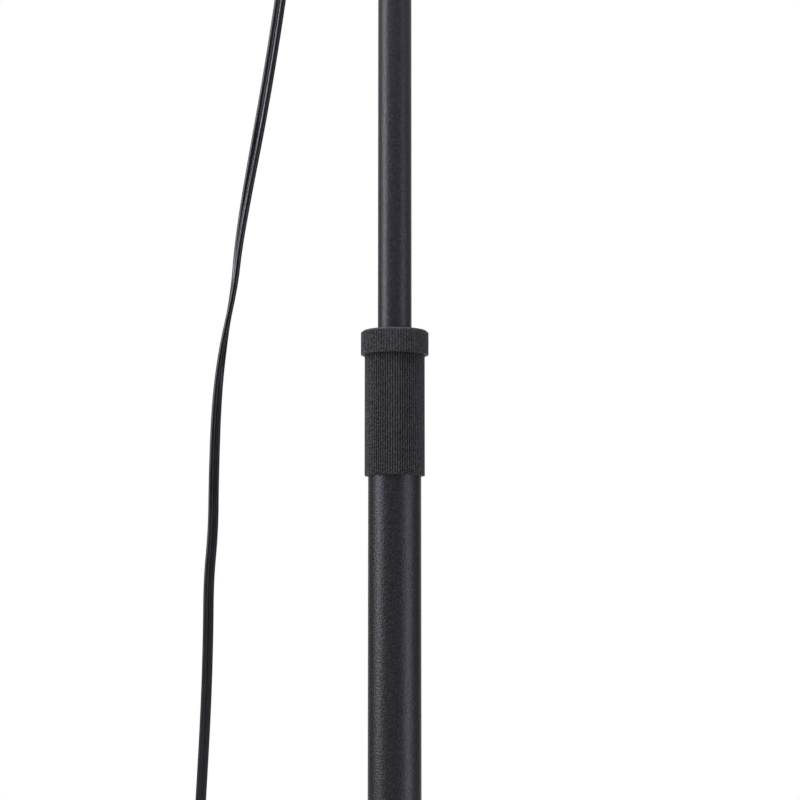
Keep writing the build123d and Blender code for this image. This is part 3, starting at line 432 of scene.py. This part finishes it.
def rib_tree():
    """Upright ribs round a turned core: their count and sizes are the tree's inputs."""
    tree = bpy.data.node_groups.new("upright_ribs", "GeometryNodeTree")
    sockets = [
        ("Core", "NodeSocketGeometry"),
        ("Rib count", "NodeSocketInt"),
        ("Circle radius", "NodeSocketFloat"),
        ("Rib width", "NodeSocketFloat"),
        ("Rib depth", "NodeSocketFloat"),
        ("Rib length", "NodeSocketFloat"),
        ("Rib foot height", "NodeSocketFloat"),
        ("Finish", "NodeSocketMaterial"),
    ]
    for name, kind in sockets:
        tree.interface.new_socket(name, in_out="INPUT", socket_type=kind)
    tree.interface.new_socket("Ribbed core", in_out="OUTPUT", socket_type="NodeSocketGeometry")
    add = tree.nodes.new
    join_up = tree.links.new
    given = add("NodeGroupInput")
    circle = add("GeometryNodeMeshCircle")
    join_up(given.outputs["Rib count"], circle.inputs["Vertices"])
    join_up(given.outputs["Circle radius"], circle.inputs["Radius"])
    bar = add("GeometryNodeMeshCylinder")
    bar.inputs["Vertices"].default_value = RIB_SIDES
    bar.inputs["Radius"].default_value = 0.5
    join_up(given.outputs["Rib length"], bar.inputs["Depth"])
    smooth_bar = add("GeometryNodeSetShadeSmooth")
    join_up(bar.outputs["Mesh"], smooth_bar.inputs["Geometry"])
    join_up(bar.outputs["Side"], smooth_bar.inputs["Shade Smooth"])
    half = add("ShaderNodeMath")
    half.operation = "MULTIPLY_ADD"
    half.inputs[1].default_value = 0.5
    join_up(given.outputs["Rib length"], half.inputs[0])
    join_up(given.outputs["Rib foot height"], half.inputs[2])
    lift = add("ShaderNodeCombineXYZ")
    join_up(half.outputs["Value"], lift.inputs["Z"])
    placed = add("GeometryNodeTransform")
    join_up(circle.outputs["Mesh"], placed.inputs["Geometry"])
    join_up(lift.outputs["Vector"], placed.inputs["Translation"])
    outwards = add("FunctionNodeAlignRotationToVector")
    outwards.axis = "X"
    level_part = add("ShaderNodeVectorMath")
    level_part.operation = "MULTIPLY"
    level_part.inputs[1].default_value = (1, 1, 0)
    join_up(add("GeometryNodeInputPosition").outputs["Position"], level_part.inputs[0])
    join_up(level_part.outputs["Vector"], outwards.inputs["Vector"])
    flatness = add("ShaderNodeCombineXYZ")
    flatness.inputs["Z"].default_value = 1.0
    join_up(given.outputs["Rib depth"], flatness.inputs["X"])
    join_up(given.outputs["Rib width"], flatness.inputs["Y"])
    ribs = add("GeometryNodeInstanceOnPoints")
    join_up(outwards.outputs["Rotation"], ribs.inputs["Rotation"])
    join_up(flatness.outputs["Vector"], ribs.inputs["Scale"])
    join_up(placed.outputs["Geometry"], ribs.inputs["Points"])
    join_up(smooth_bar.outputs["Geometry"], ribs.inputs["Instance"])
    joined = add("GeometryNodeJoinGeometry")
    join_up(ribs.outputs["Instances"], joined.inputs["Geometry"])
    join_up(given.outputs["Core"], joined.inputs["Geometry"])
    real = add("GeometryNodeRealizeInstances")
    join_up(joined.outputs["Geometry"], real.inputs["Geometry"])
    finish = add("GeometryNodeSetMaterial")
    join_up(real.outputs["Geometry"], finish.inputs["Geometry"])
    join_up(given.outputs["Finish"], finish.inputs["Material"])
    result = add("NodeGroupOutput")
    join_up(finish.outputs["Geometry"], result.inputs["Ribbed core"])
    return tree


def settle(maker, mesh, *settings):
    """Runs a tree on a mesh, once for each set of inputs, and gives back the plain mesh."""
    holder = bpy.data.objects.new(mesh.name, mesh)
    bpy.context.collection.objects.link(holder)
    for inputs in settings:
        step = holder.modifiers.new("maker", "NODES")
        step.node_group = maker
        for item in maker.interface.items_tree:
            if item.in_out == "INPUT" and item.name in inputs:
                step[item.identifier] = inputs[item.name]
    graph = bpy.context.evaluated_depsgraph_get()
    result = bpy.data.meshes.new_from_object(holder.evaluated_get(graph))
    bpy.data.objects.remove(holder)
    return result


sleeve_ribs = {
    "Rib count": RIBS,
    "Circle radius": (SLEEVE_RADIUS + SLEEVE_FOOT) / 2 - RIB_DEPTH / 2,
    "Rib width": RIB_WIDTH,
    "Rib depth": RIB_DEPTH,
    "Rib length": flange_bottom - COLLAR_BOTTOM - RIB_END_GAP,
    "Rib foot height": COLLAR_BOTTOM + RIB_END_GAP,
    "Finish": collar_plastic,
}
flange_ribs = dict(sleeve_ribs)
flange_ribs["Circle radius"] = FLANGE_RADIUS - RIB_DEPTH / 2
flange_ribs["Rib width"] = RIB_WIDTH * FLANGE_RADIUS / SLEEVE_RADIUS
flange_ribs["Rib length"] = FLANGE_HEIGHT - RIB_END_GAP - FLANGE_RIB_TOP_GAP
flange_ribs["Rib foot height"] = flange_bottom + RIB_END_GAP
collar_core = turned("collar_core", collar_outline, sides=2 * RIBS)
collar_mesh = settle(rib_tree(), collar_core, sleeve_ribs, flange_ribs)
show("ribbed_collar", collar_mesh, collar_plastic, "collar", "lock_plastic", "lock_collar")

# Upper tube: 16 mm steel tube that slides in the collet, coated like the lower one. Inside the pole
# it carries a bush on a cross pin, and at its top a coated insert that the neck turns in.
UPPER_RADIUS = 0.008
UPPER_BOTTOM = 0.600
UPPER_TOP = 1.300
UPPER_WALL = 0.001
upper_outline = tube_outline(UPPER_RADIUS, UPPER_WALL, UPPER_BOTTOM, UPPER_TOP)
upper_mesh = turned("upper_pole", upper_outline, sides=128)
show("upper_pole", upper_mesh, tube_coat, "mast", "black_coat", "upper_tube")
paint(tube_coat, "top_insert")
paint(pale_acetal, "guide_bush")
paint(zinc, "bush_pin")

# Cord boot: a soft moulded sleeve in the side of the upper tube, where the cord comes out. It has a
# saddle against the tube and flex rings that grow smaller towards its end.
OUTLET_DEPTH = 0.048
BOOT_SLOPE = radians(50)
BOOT_LENGTH = 0.028
BOOT_RADIUS = 0.0058
BOOT_END_RADIUS = 0.0039
BOOT_END_BAND = 0.002
BOOT_SADDLE = 0.0062
BOOT_ROOT_RADIUS = 0.0042
BOOT_ROOT_LENGTH = 0.0035
FLEX_RINGS = 5
FLEX_RING_EDGE = 0.0002

# Each flex ring from its foot up: how far it stands back from its full radius, and how high that is
FLEX_RING = [(0.0008, 0.0003), (0.0008, 0.0012), (FLEX_RING_EDGE, 0.0016), (0, 0.0022)]
outlet = Vector((-UPPER_RADIUS, 0, UPPER_TOP - OUTLET_DEPTH))
boot_way = Vector((-cos(BOOT_SLOPE), 0, -sin(BOOT_SLOPE)))
soft_vinyl = moulded(
    "soft_black_vinyl",
    dark=(0.0095, 0.0097, 0.0105, 1),
    light=(0.02, 0.0204, 0.0215, 1),
    grains=900.0,
    roughness=0.42,
    height=0.00003,
)
boot_outline = [
    (0, -BOOT_ROOT_LENGTH),
    (BOOT_ROOT_RADIUS, -BOOT_ROOT_LENGTH),
    (BOOT_ROOT_RADIUS, 0),
    (BOOT_RADIUS, 0),
    (BOOT_RADIUS, BOOT_SADDLE),
]
ring_run = (BOOT_LENGTH - BOOT_SADDLE - BOOT_END_BAND) / FLEX_RINGS
for count in range(FLEX_RINGS):
    low = BOOT_SADDLE + ring_run * count
    full = BOOT_RADIUS + (BOOT_END_RADIUS - BOOT_RADIUS) * (count + 0.5) / FLEX_RINGS
    boot_outline += [(full - back, low + rise) for back, rise in FLEX_RING]
    boot_outline.append((full - FLEX_RING_EDGE, low + ring_run - FLEX_RING_EDGE))
boot_outline += [
    (BOOT_END_RADIUS, BOOT_LENGTH - BOOT_END_BAND),
    (BOOT_END_RADIUS, BOOT_LENGTH),
    (0, BOOT_LENGTH),
]


def aimed(mesh, place, way):
    """Moves an upright turned mesh to its place, with its axis along a direction."""
    mesh.transform(Matrix.Translation(place) @ way.to_track_quat("Z", "Y").to_matrix().to_4x4())
    return mesh


boot_mesh = aimed(turned("flex_boot", boot_outline, sides=48), outlet, boot_way)
show("flex_boot", boot_mesh, soft_vinyl, "mast", "cord_rubber", "cord_boot")

# Neck and arm: turned and milled steel ends, coated, on a slim arm tube. A clip keeps the neck's spigot
# in the insert. The arm's root is a tongue between the neck's ears, and its far end has ears for the head.
ARM_PIVOT = Vector((0, 0, 1.33205))
ARM_RISE = radians(25)
ARM_LENGTH = 0.26
ARM_RADIUS = 0.006
ARM_WALL = 0.001
ARM_START = 0.020
ARM_FORK_LENGTH = 0.032
arm_way = Vector((cos(ARM_RISE), 0, sin(ARM_RISE)))
paint(tube_coat, "neck_fork", "arm_root", "arm_fork")
paint(zinc, "neck_clip")
arm_stop = ARM_LENGTH - ARM_FORK_LENGTH
arm_outline = [
    (ARM_RADIUS - ARM_WALL, ARM_START),
    (ARM_RADIUS, ARM_START),
    (ARM_RADIUS, arm_stop),
    (ARM_RADIUS - ARM_WALL, arm_stop),
]
arm_mesh = aimed(turned("arm_pipe", arm_outline, sides=96), ARM_PIVOT, arm_way)
show("arm_pipe", arm_mesh, tube_coat, "arm", "black_coat", "arm_tube")
paint(soft_vinyl, "arm_lead")
pale_nylon = moulded(
    "pale_nylon",
    dark=(0.6, 0.6, 0.57, 1),
    light=(0.72, 0.72, 0.69, 1),
    grains=500.0,
    roughness=0.5,
    height=0.00004,
)
paint(pale_nylon, "arm_washers", "head_washers")

# Head cap: a coated cup on a coated tongue that tilts between the arm's far ears. A brass nipple screwed
# into the tongue and a plated nut inside the cup hold the two together.
brass = plated_metal(
    "turned_brass",
    dark=(0.5, 0.37, 0.16, 1),
    light=(0.64, 0.5, 0.25, 1),
    roughness=0.3,
)
paint(tube_coat, "head_tongue", "socket_cap")
paint(brass, "cap_nipple")
paint(zinc, "cap_nut")

# Clamp knobs and switch knob: black moulded hand knobs with six lobes on plated studs, one for each
# tilting joint, and a small fluted turn knob pressed on the switch's stem at the front of the cap.
knob_plastic = moulded(
    "knob_plastic",
    dark=(0.012, 0.012, 0.0125, 1),
    light=(0.026, 0.026, 0.027, 1),
    grains=1300.0,
    roughness=0.48,
    height=0.00006,
)
paint(knob_plastic, "arm_knob", "head_knob", "switch_knob")
paint(zinc, "arm_stud", "head_stud", "switch_stem")

# Shade: spun aluminium with a rolled edge, coated black outside and enamelled white inside. It sits
# on its flat seat under the cap, held by the ring that screws on the lampholder from below.
SHADE_SEAT = 0.074
SHADE_RIM = 0.174
SHADE_RADIUS = 0.078
SHADE_SHOULDER = 0.024
SHADE_BULGE = 0.019
SHADE_WALL = 0.001
SHADE_HOLE = 0.0169
SEAT_EDGE = 0.001
SEAT_EDGE_INSIDE = 0.0006
BEAD_RADIUS = 0.0016
BEAD_START = -20
BEAD_STOP = 200

# A face of the shade is lining where it looks inwards, or down by a good deal
LINING_LEAN = 0.4
LINING_LIMIT = -0.1
head = ARM_PIVOT + arm_way * ARM_LENGTH


def bulged(low, high, bulge, steps, inset):
    """Points along a round arc between two corners of a half section, set in from it by a wall."""
    span = Vector((high[0] - low[0], high[1] - low[1]))
    across = Vector((span.y, -span.x)).normalized()
    radius = (span.length_squared / 4 + bulge * bulge) / (2 * bulge)
    middle = Vector(low) + span / 2 - across * (radius - bulge)
    first = atan2(low[1] - middle.y, low[0] - middle.x)
    last = atan2(high[1] - middle.y, high[0] - middle.x)
    angles = [first + (last - first) * count / steps for count in range(steps + 1)]
    reach = radius - inset
    return [(middle.x + reach * cos(angle), middle.y + reach * sin(angle)) for angle in angles]


shade_shoulder = (SHADE_SHOULDER, SHADE_SEAT)
shade_mouth = (SHADE_RADIUS, SHADE_RIM)
dome = bulged(shade_shoulder, shade_mouth, SHADE_BULGE, steps=40, inset=0)
lining = bulged(shade_shoulder, shade_mouth, SHADE_BULGE, steps=40, inset=SHADE_WALL)
bead_middle = (SHADE_RADIUS - BEAD_RADIUS, SHADE_RIM)
bead = arc(bead_middle, BEAD_RADIUS, BEAD_START, BEAD_STOP, steps=14)
shade_outline = [(SHADE_HOLE, SHADE_SEAT), (SHADE_SHOULDER - SEAT_EDGE, SHADE_SEAT)]
shade_outline += dome[:-1] + bead + lining[-2:0:-1]
shade_outline += [
    (SHADE_SHOULDER - SEAT_EDGE_INSIDE, SHADE_SEAT + SHADE_WALL),
    (SHADE_HOLE, SHADE_SEAT + SHADE_WALL),
]
shade_mesh = turned("spun_shade", [(radius, -depth) for radius, depth in shade_outline], sides=192)
shade_mesh.transform(Matrix.Translation(head))
enamel, shader = grained(
    "white_enamel",
    grains=420.0,
    detail=3.0,
    dark=(0.74, 0.735, 0.72, 1),
    light=(0.79, 0.785, 0.77, 1),
    roughness=(0.3, 0.42),
    height=0.0001,
    strength=0.3,
)
show("spun_shade", shade_mesh, tube_coat, "head", "shade_coat", "shade")
shade_mesh.materials.append(enamel)
for face in shade_mesh.polygons:
    out = Vector((face.center.x - head.x, face.center.y - head.y, 0)).normalized()
    below_seat = face.center.z < head.z - SHADE_SEAT - SHADE_WALL / 2
    looks_in = face.normal.dot(out) + LINING_LEAN * face.normal.z < LINING_LIMIT
    face.material_index = 1 if below_seat and looks_in else 0

# Lampholder, its ring and the bulb: a black phenolic holder screwed on the nipple under the cap, with a
# moulded ring that clamps the shade, and an opal globe bulb with a nickel-plated screw shell.
phenolic = moulded(
    "black_phenolic",
    dark=(0.012, 0.011, 0.01, 1),
    light=(0.024, 0.022, 0.02, 1),
    grains=300.0,
    roughness=0.28,
    height=0.00002,
)
paint(phenolic, "lampholder", "shade_ring")
BULB_TIP = 0.0663
BULB_LENGTH = 0.087
BULB_RADIUS = 0.025
CONTACT_RADIUS = 0.0045
SCREW_RADIUS = 0.013
SCREW_END = 0.0943
SCREW_TURNS = 6
SCREW_DEPTH = 0.0009
SCREW_MARGIN = 0.004
SCREW_LEAD = 0.001
SKIRT_FOOT_IN = 0.0004
SKIRT_EDGE_IN = 0.0002
ball = BULB_TIP + BULB_LENGTH - BULB_RADIUS
cone = atan2(SCREW_END - ball, SCREW_RADIUS)
reach = sqrt(SCREW_RADIUS**2 + (ball - SCREW_END) ** 2 - BULB_RADIUS**2)
tangent = degrees(cone + atan2(reach, BULB_RADIUS))
screw_start = BULB_TIP + SCREW_MARGIN
screw_stop = SCREW_END - SCREW_MARGIN
screw_run = (screw_stop - screw_start) / SCREW_TURNS
bulb_outline = [(0, BULB_TIP), (CONTACT_RADIUS, BULB_TIP), (SCREW_RADIUS - SCREW_LEAD, screw_start)]
for count in range(SCREW_TURNS):
    foot = screw_start + screw_run * count
    bulb_outline += [(SCREW_RADIUS - SCREW_DEPTH, foot), (SCREW_RADIUS, foot + screw_run / 2)]
bulb_outline += [(SCREW_RADIUS - SKIRT_FOOT_IN, screw_stop), (SCREW_RADIUS - SKIRT_EDGE_IN, SCREW_END)]
bulb_outline += arc((0, ball), BULB_RADIUS, tangent, 90, steps=28)[:-1] + [(0, BULB_TIP + BULB_LENGTH)]
hung_outline = [(radius, -depth) for radius, depth in bulb_outline]
bulb_mesh = turned("opal_bulb", hung_outline, sides=96, crease=50.0)
bulb_mesh.transform(Matrix.Translation(head))
opal, shader = grained(
    "opal_diffuser",
    grains=600.0,
    detail=3.0,
    dark=(0.76, 0.755, 0.73, 1),
    light=(0.8, 0.795, 0.775, 1),
    roughness=(0.32, 0.44),
    height=0.00004,
    strength=0.2,
)
shader.inputs["Subsurface Weight"].default_value = 0.15
shader.inputs["Subsurface Radius"].default_value = (0.004, 0.004, 0.004)
show("opal_bulb", bulb_mesh, opal, "head", "bulb_opal", "bulb")
screw_shell = plated_metal(
    "nickel_screw_shell",
    dark=(0.5, 0.49, 0.46, 1),
    light=(0.66, 0.65, 0.62, 1),
    roughness=0.28,
)
bulb_mesh.materials.append(screw_shell)
for face in bulb_mesh.polygons:
    face.material_index = 1 if face.center.z > head.z - SCREW_END else 0

# Cord: flat two-core lamp cord of black vinyl, hanging free from the boot and turning over once on its
# way down, then along the floor into a tied coil of two layers with the plug beside it.
CORD_WIDTH = 0.0056
CORD_THICKNESS = 0.0028
CORD_STRAIGHT = 0.022

# The way of the hanging stretch in millimetres, the same points as in the part's source
CORD_ROUTE = [
    (-43.6, 2.0, 1180.0),
    (-45.8, 5.0, 1136.0),
    (-46.9, 9.0, 1086.0),
    (-48.6, 14.0, 1033.0),
    (-52.2, 18.5, 995.0),
    (-57.9, 23.0, 955.0),
    (-64.4, 26.2, 915.0),
    (-72.4, 29.6, 872.0),
    (-76.7, 31.8, 845.0),
    (-78.4, 33.4, 826.0),
    (-83.8, 35.5, 799.0),
    (-87.0, 37.7, 772.0),
    (-88.3, 40.7, 735.0),
    (-88.5, 42.9, 708.0),
    (-90.7, 44.8, 684.0),
    (-90.8, 46.7, 660.0),
    (-91.7, 49.5, 625.0),
    (-93.8, 52.7, 585.0),
    (-96.3, 55.6, 541.0),
    (-98.2, 58.4, 480.0),
    (-98.9, 60.2, 415.0),
    (-98.6, 61.0, 345.0),
    (-97.6, 60.9, 275.0),
    (-96.6, 60.2, 211.0),
    (-96.1, 59.6, 150.0),
    (-97.8, 62.1, 95.0),
    (-101.4, 66.9, 56.0),
    (-109.2, 77.3, 29.0),
    (-123.0, 95.7, 11.0),
]
FLOOR_RUN = 0.028
COIL_CENTRE = Vector((-0.132, 0.166, 0))
COIL_HEADING = radians(126.87)
COIL_RADIUS = 0.035
COIL_STEP = 0.0042
COIL_HALF_TURNS = 6
COIL_LAYER = 0.0062
TIE_SPACE = 0.0009
TAIL_TURNS = (16.0, 22.0, 20.0)
TAIL_RUN = 0.018
heading = Vector((cos(COIL_HEADING), sin(COIL_HEADING), 0))
outward = Vector((-heading.y, heading.x, 0))
floor_height = TIE_SPACE + CORD_WIDTH / 2


def coil_point(across, along, height):
    """A point on the floor round the coil, counted from its centre."""
    return COIL_CENTRE + outward * across + heading * along + Vector((0, 0, height))


boot_end = outlet + boot_way * BOOT_LENGTH
floor_end = coil_point(COIL_RADIUS, -CORD_WIDTH, floor_height)
route = [boot_end, boot_end + boot_way * CORD_STRAIGHT]
route += [Vector(point) / 1000 for point in CORD_ROUTE]
route += [floor_end - heading * FLOOR_RUN, floor_end]
sizes = [COIL_RADIUS - COIL_STEP / 2 * count for count in range(COIL_HALF_TURNS + 1)]
sizes += sizes[-2::-1]
across = COIL_RADIUS
level = floor_height
POINTS_PER_HALF = 12
for count, size in enumerate(sizes):
    side = 1 if count % 2 == 0 else -1
    rise = COIL_LAYER if count == COIL_HALF_TURNS else 0
    for step in range(POINTS_PER_HALF):
        turn = pi * (step + 0.5) / POINTS_PER_HALF
        height = level + rise * (1 - cos(turn)) / 2
        route.append(coil_point(across - side * size * (1 - cos(turn)), side * size * sin(turn), height))
    across -= 2 * side * size
    level += rise
tail = coil_point(across, -CORD_WIDTH, level)
route.append(tail)
tail_angle = 0.0
for turn in (0.0,) + TAIL_TURNS:
    tail_angle += radians(turn)
    tail = tail - heading * (cos(tail_angle) * TAIL_RUN) - outward * (sin(tail_angle) * TAIL_RUN)
    route.append(tail)

line_data = bpy.data.curves.new("cord_line", "CURVE")
line_data.dimensions = "3D"
line_data.resolution_u = 6
spline = line_data.splines.new("NURBS")
spline.points.add(len(route) - 1)
for control, point in zip(spline.points, route):
    control.co = (*point, 1.0)
spline.order_u = 3
spline.use_endpoint_u = True
line_object = bpy.data.objects.new("cord_line", line_data)
bpy.context.collection.objects.link(line_object)
graph = bpy.context.evaluated_depsgraph_get()
line_mesh = bpy.data.meshes.new_from_object(line_object.evaluated_get(graph))
cord_points = [vertex.co.copy() for vertex in line_mesh.vertices]
bpy.data.objects.remove(line_object)

# How the cord turns over: heights, and the bearing of its wide side at each, in degrees
CORD_BEARINGS = [
    (1.300, 0.0),
    (0.908, -4.0),
    (0.888, -22.0),
    (0.869, -37.0),
    (0.849, -54.0),
    (0.830, -70.0),
    (0.811, -86.0),
    (0.790, -113.0),
    (0.771, -128.0),
    (0.750, -138.0),
    (0.700, -143.0),
    (0.450, -146.0),
    (0.120, -233.13),
    (0.000, -233.13),
]


def bearing_at(height):
    """The bearing of the cord's wide side at a height."""
    for (high, first), (low, last) in zip(CORD_BEARINGS, CORD_BEARINGS[1:]):
        if height >= low:
            share = (high - height) / (high - low)
            return radians(first + (last - first) * min(max(share, 0), 1))
    return radians(CORD_BEARINGS[-1][1])


lobe = CORD_THICKNESS / 2
lobe_middle = (CORD_WIDTH - CORD_THICKNESS) / 2
LOBE_STEPS = 12
LOBE_REACH = 143
GROOVE_SHARE = 0.5

# Near the floor, where it no longer runs steeply, the cord stands on its narrow side
LAID_BELOW = 0.1
LAID_SLOPE = 0.7
section = arc((lobe_middle, 0), lobe, -LOBE_REACH, LOBE_REACH, LOBE_STEPS) + [(0, lobe * GROOVE_SHARE)]
section += [(-x, -y) for x, y in section]
cord_shape = bmesh.new()
cord_rings = []
last_wide = None
for count, point in enumerate(cord_points):
    before = cord_points[max(count - 1, 0)]
    after = cord_points[min(count + 1, len(cord_points) - 1)]
    ahead = (after - before).normalized()
    bearing = bearing_at(point.z)
    wide = Vector((cos(bearing), sin(bearing), 0))
    if point.z < LAID_BELOW and abs(ahead.z) < LAID_SLOPE:
        wide = Vector((0, 0, 1))
    wide = (wide - ahead * wide.dot(ahead)).normalized()
    if last_wide is not None and wide.dot(last_wide) < 0:
        wide = -wide
    last_wide = wide
    thick = ahead.cross(wide)
    cord_rings.append([cord_shape.verts.new(point + wide * x + thick * y) for x, y in section])
for ring, following in zip(cord_rings, cord_rings[1:]):
    for count in range(len(section)):
        after = (count + 1) % len(section)
        cord_shape.faces.new((ring[count], ring[after], following[after], following[count]))
cord_shape.faces.new(cord_rings[0][::-1])
cord_shape.faces.new(cord_rings[-1])
bmesh.ops.recalc_face_normals(cord_shape, faces=cord_shape.faces)
cord_mesh = bpy.data.meshes.new("lamp_cord")
cord_shape.to_mesh(cord_mesh)
cord_shape.free()
cord_mesh.shade_smooth()
cord_mesh.set_sharp_from_angle(angle=radians(60))
cord_vinyl, shader = grained(
    "cord_vinyl",
    grains=60.0,
    detail=1.0,
    dark=(0.0035, 0.0036, 0.0045, 1),
    light=(0.0065, 0.0067, 0.0079, 1),
    roughness=(0.29, 0.35),
    height=0.0001,
    strength=0.2,
)
shader.inputs["Specular Tint"].default_value = COAT_SHEEN
lamp_cord = bpy.data.objects.new("lamp_cord", cord_mesh)
bpy.context.collection.objects.link(lamp_cord)
cord_mesh.materials.append(cord_vinyl)
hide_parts("cord_drop", "cord_coil", "cord_tail")
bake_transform(lamp_cord)

# Tie and plug: a black woven strap that keeps the spare cord in its coil, and a soft plug moulded on the
# cord's end round two flat nickel-plated blades.
strap_weave = moulded(
    "strap_weave",
    dark=(0.012, 0.012, 0.012, 1),
    light=(0.04, 0.04, 0.04, 1),
    grains=2200.0,
    roughness=0.8,
    height=0.0002,
)
plug_vinyl = moulded(
    "plug_vinyl",
    dark=(0.012, 0.012, 0.0125, 1),
    light=(0.024, 0.024, 0.025, 1),
    grains=800.0,
    roughness=0.42,
    height=0.00005,
)
nickel = plated_metal(
    "nickel_blades",
    dark=(0.5, 0.48, 0.42, 1),
    light=(0.66, 0.64, 0.58, 1),
    roughness=0.26,
)
paint(strap_weave, "cord_tie")
paint(plug_vinyl, "plug_body")
paint(nickel, "plug_blades")

# Stage: a plain pale floor that goes over into a white background, a tall strip light on each side for
# the two bands of light along the tubes, a soft box overhead, and a white surround.
FLOOR_RADIUS = 3.6
FADE_START = 0.9
FADE_END = 3.2
FLOOR_DARK = (0.78, 0.78, 0.775, 1)
FLOOR_LIGHT = (0.81, 0.81, 0.805, 1)
floor_shape = bmesh.new()
bmesh.ops.create_circle(floor_shape, cap_ends=True, segments=96, radius=FLOOR_RADIUS)
floor_mesh = bpy.data.meshes.new("studio_floor")
floor_shape.to_mesh(floor_mesh)
floor_shape.free()
floor = bpy.data.objects.new("studio_floor", floor_mesh)
bpy.context.collection.objects.link(floor)
floor_paint, nodes, links, shader = shader_of("pale_floor")
floor_cloud = grain_of(nodes, links, scale=3.0, detail=3.0)
floor_colour = tint_by(nodes, links, floor_cloud, 0.2, 0.8, FLOOR_DARK, FLOOR_LIGHT)
links.new(floor_colour, shader.inputs["Base Color"])
shader.inputs["Roughness"].default_value = 0.7
shader.inputs["Specular IOR Level"].default_value = 0.0
floor_place = nodes.new("ShaderNodeTexCoord")
far_out = nodes.new("ShaderNodeVectorMath")
far_out.operation = "LENGTH"
links.new(floor_place.outputs["Object"], far_out.inputs[0])
fade = nodes.new("ShaderNodeMapRange")
fade.interpolation_type = "SMOOTHSTEP"
fade.inputs["From Min"].default_value = FADE_START
fade.inputs["From Max"].default_value = FADE_END
links.new(far_out.outputs["Value"], fade.inputs["Value"])
floor_rays = nodes.new("ShaderNodeLightPath")
looked_at = nodes.new("ShaderNodeMath")
looked_at.operation = "MAXIMUM"
links.new(floor_rays.outputs["Is Camera Ray"], looked_at.inputs[0])
links.new(floor_rays.outputs["Is Glossy Ray"], looked_at.inputs[1])
whitened = nodes.new("ShaderNodeMath")
whitened.operation = "MULTIPLY"
links.new(fade.outputs["Result"], whitened.inputs[0])
links.new(looked_at.outputs["Value"], whitened.inputs[1])
paper = nodes.new("ShaderNodeEmission")
floor_mix = nodes.new("ShaderNodeMixShader")
links.new(whitened.outputs["Value"], floor_mix.inputs["Fac"])
links.new(shader.outputs["BSDF"], floor_mix.inputs[1])
links.new(paper.outputs["Emission"], floor_mix.inputs[2])
links.new(floor_mix.outputs["Shader"], nodes["Material Output"].inputs["Surface"])
floor_mesh.materials.append(floor_paint)


def soft_lamp(name, place, target, width, height, power):
    """A flat soft light turned towards a point."""
    data = bpy.data.lights.new(name, "AREA")
    data.shape = "RECTANGLE"
    data.size = width
    data.size_y = height
    data.energy = power
    lamp = bpy.data.objects.new(name, data)
    lamp.location = place
    lamp.rotation_euler = (Vector(target) - Vector(place)).to_track_quat("-Z", "Y").to_euler()
    bpy.context.collection.objects.link(lamp)
    return lamp


left_strip = soft_lamp(
    "left_strip_light",
    place=(-2.3, -0.6, 1.4),
    target=(0, 0, 0.8),
    width=0.45,
    height=1.5,
    power=43.5,
)
right_strip = soft_lamp(
    "right_strip_light",
    place=(2.1, -1.2, 0.45),
    target=(0, 0, 0.6),
    width=0.8,
    height=1.3,
    power=22.0,
)
for strip in (left_strip, right_strip):
    strip.visible_diffuse = False
soft_lamp(
    "overhead_soft_box",
    place=(-0.5, -0.9, 3.0),
    target=(0.1, 0, 0.8),
    width=1.2,
    height=1.2,
    power=52.0,
)

# The surround is white to the camera, softer for the light it sheds, and for reflections white only
# overhead and behind the lamp.
SOFT_LEVEL = 0.42
OVERHEAD_FULL = 0.5
BEHIND_START = 0.7
BEHIND_FULL = 0.95
world = bpy.data.worlds.new("white_surround")
bpy.context.scene.world = world
world.use_nodes = True
nodes = world.node_tree.nodes
links = world.node_tree.links
background = nodes["Background"]
background.inputs["Color"].default_value = (1, 1, 1, 1)
path_kind = nodes.new("ShaderNodeLightPath")
way = nodes.new("ShaderNodeTexCoord")
split = nodes.new("ShaderNodeSeparateXYZ")
links.new(way.outputs["Generated"], split.inputs["Vector"])
overhead = nodes.new("ShaderNodeMapRange")
overhead.interpolation_type = "SMOOTHSTEP"
overhead.inputs["From Max"].default_value = OVERHEAD_FULL
links.new(split.outputs["Z"], overhead.inputs["Value"])
behind = nodes.new("ShaderNodeMapRange")
behind.interpolation_type = "SMOOTHSTEP"
behind.inputs["From Min"].default_value = BEHIND_START
behind.inputs["From Max"].default_value = BEHIND_FULL
links.new(overhead.outputs["Result"], behind.inputs["To Min"])
links.new(split.outputs["Y"], behind.inputs["Value"])
mirror_rays = nodes.new("ShaderNodeMath")
mirror_rays.operation = "MAXIMUM"
links.new(path_kind.outputs["Is Glossy Ray"], mirror_rays.inputs[0])
links.new(path_kind.outputs["Is Transmission Ray"], mirror_rays.inputs[1])
soft_level = nodes.new("ShaderNodeMix")
soft_level.inputs["A"].default_value = SOFT_LEVEL
links.new(mirror_rays.outputs["Value"], soft_level.inputs["Factor"])
links.new(behind.outputs["Result"], soft_level.inputs["B"])
seen_level = nodes.new("ShaderNodeMix")
seen_level.inputs["B"].default_value = 1.0
links.new(path_kind.outputs["Is Camera Ray"], seen_level.inputs["Factor"])
links.new(soft_level.outputs["Result"], seen_level.inputs["A"])
links.new(seen_level.outputs["Result"], background.inputs["Strength"])

bpy.context.scene.view_settings.view_transform = "Standard"
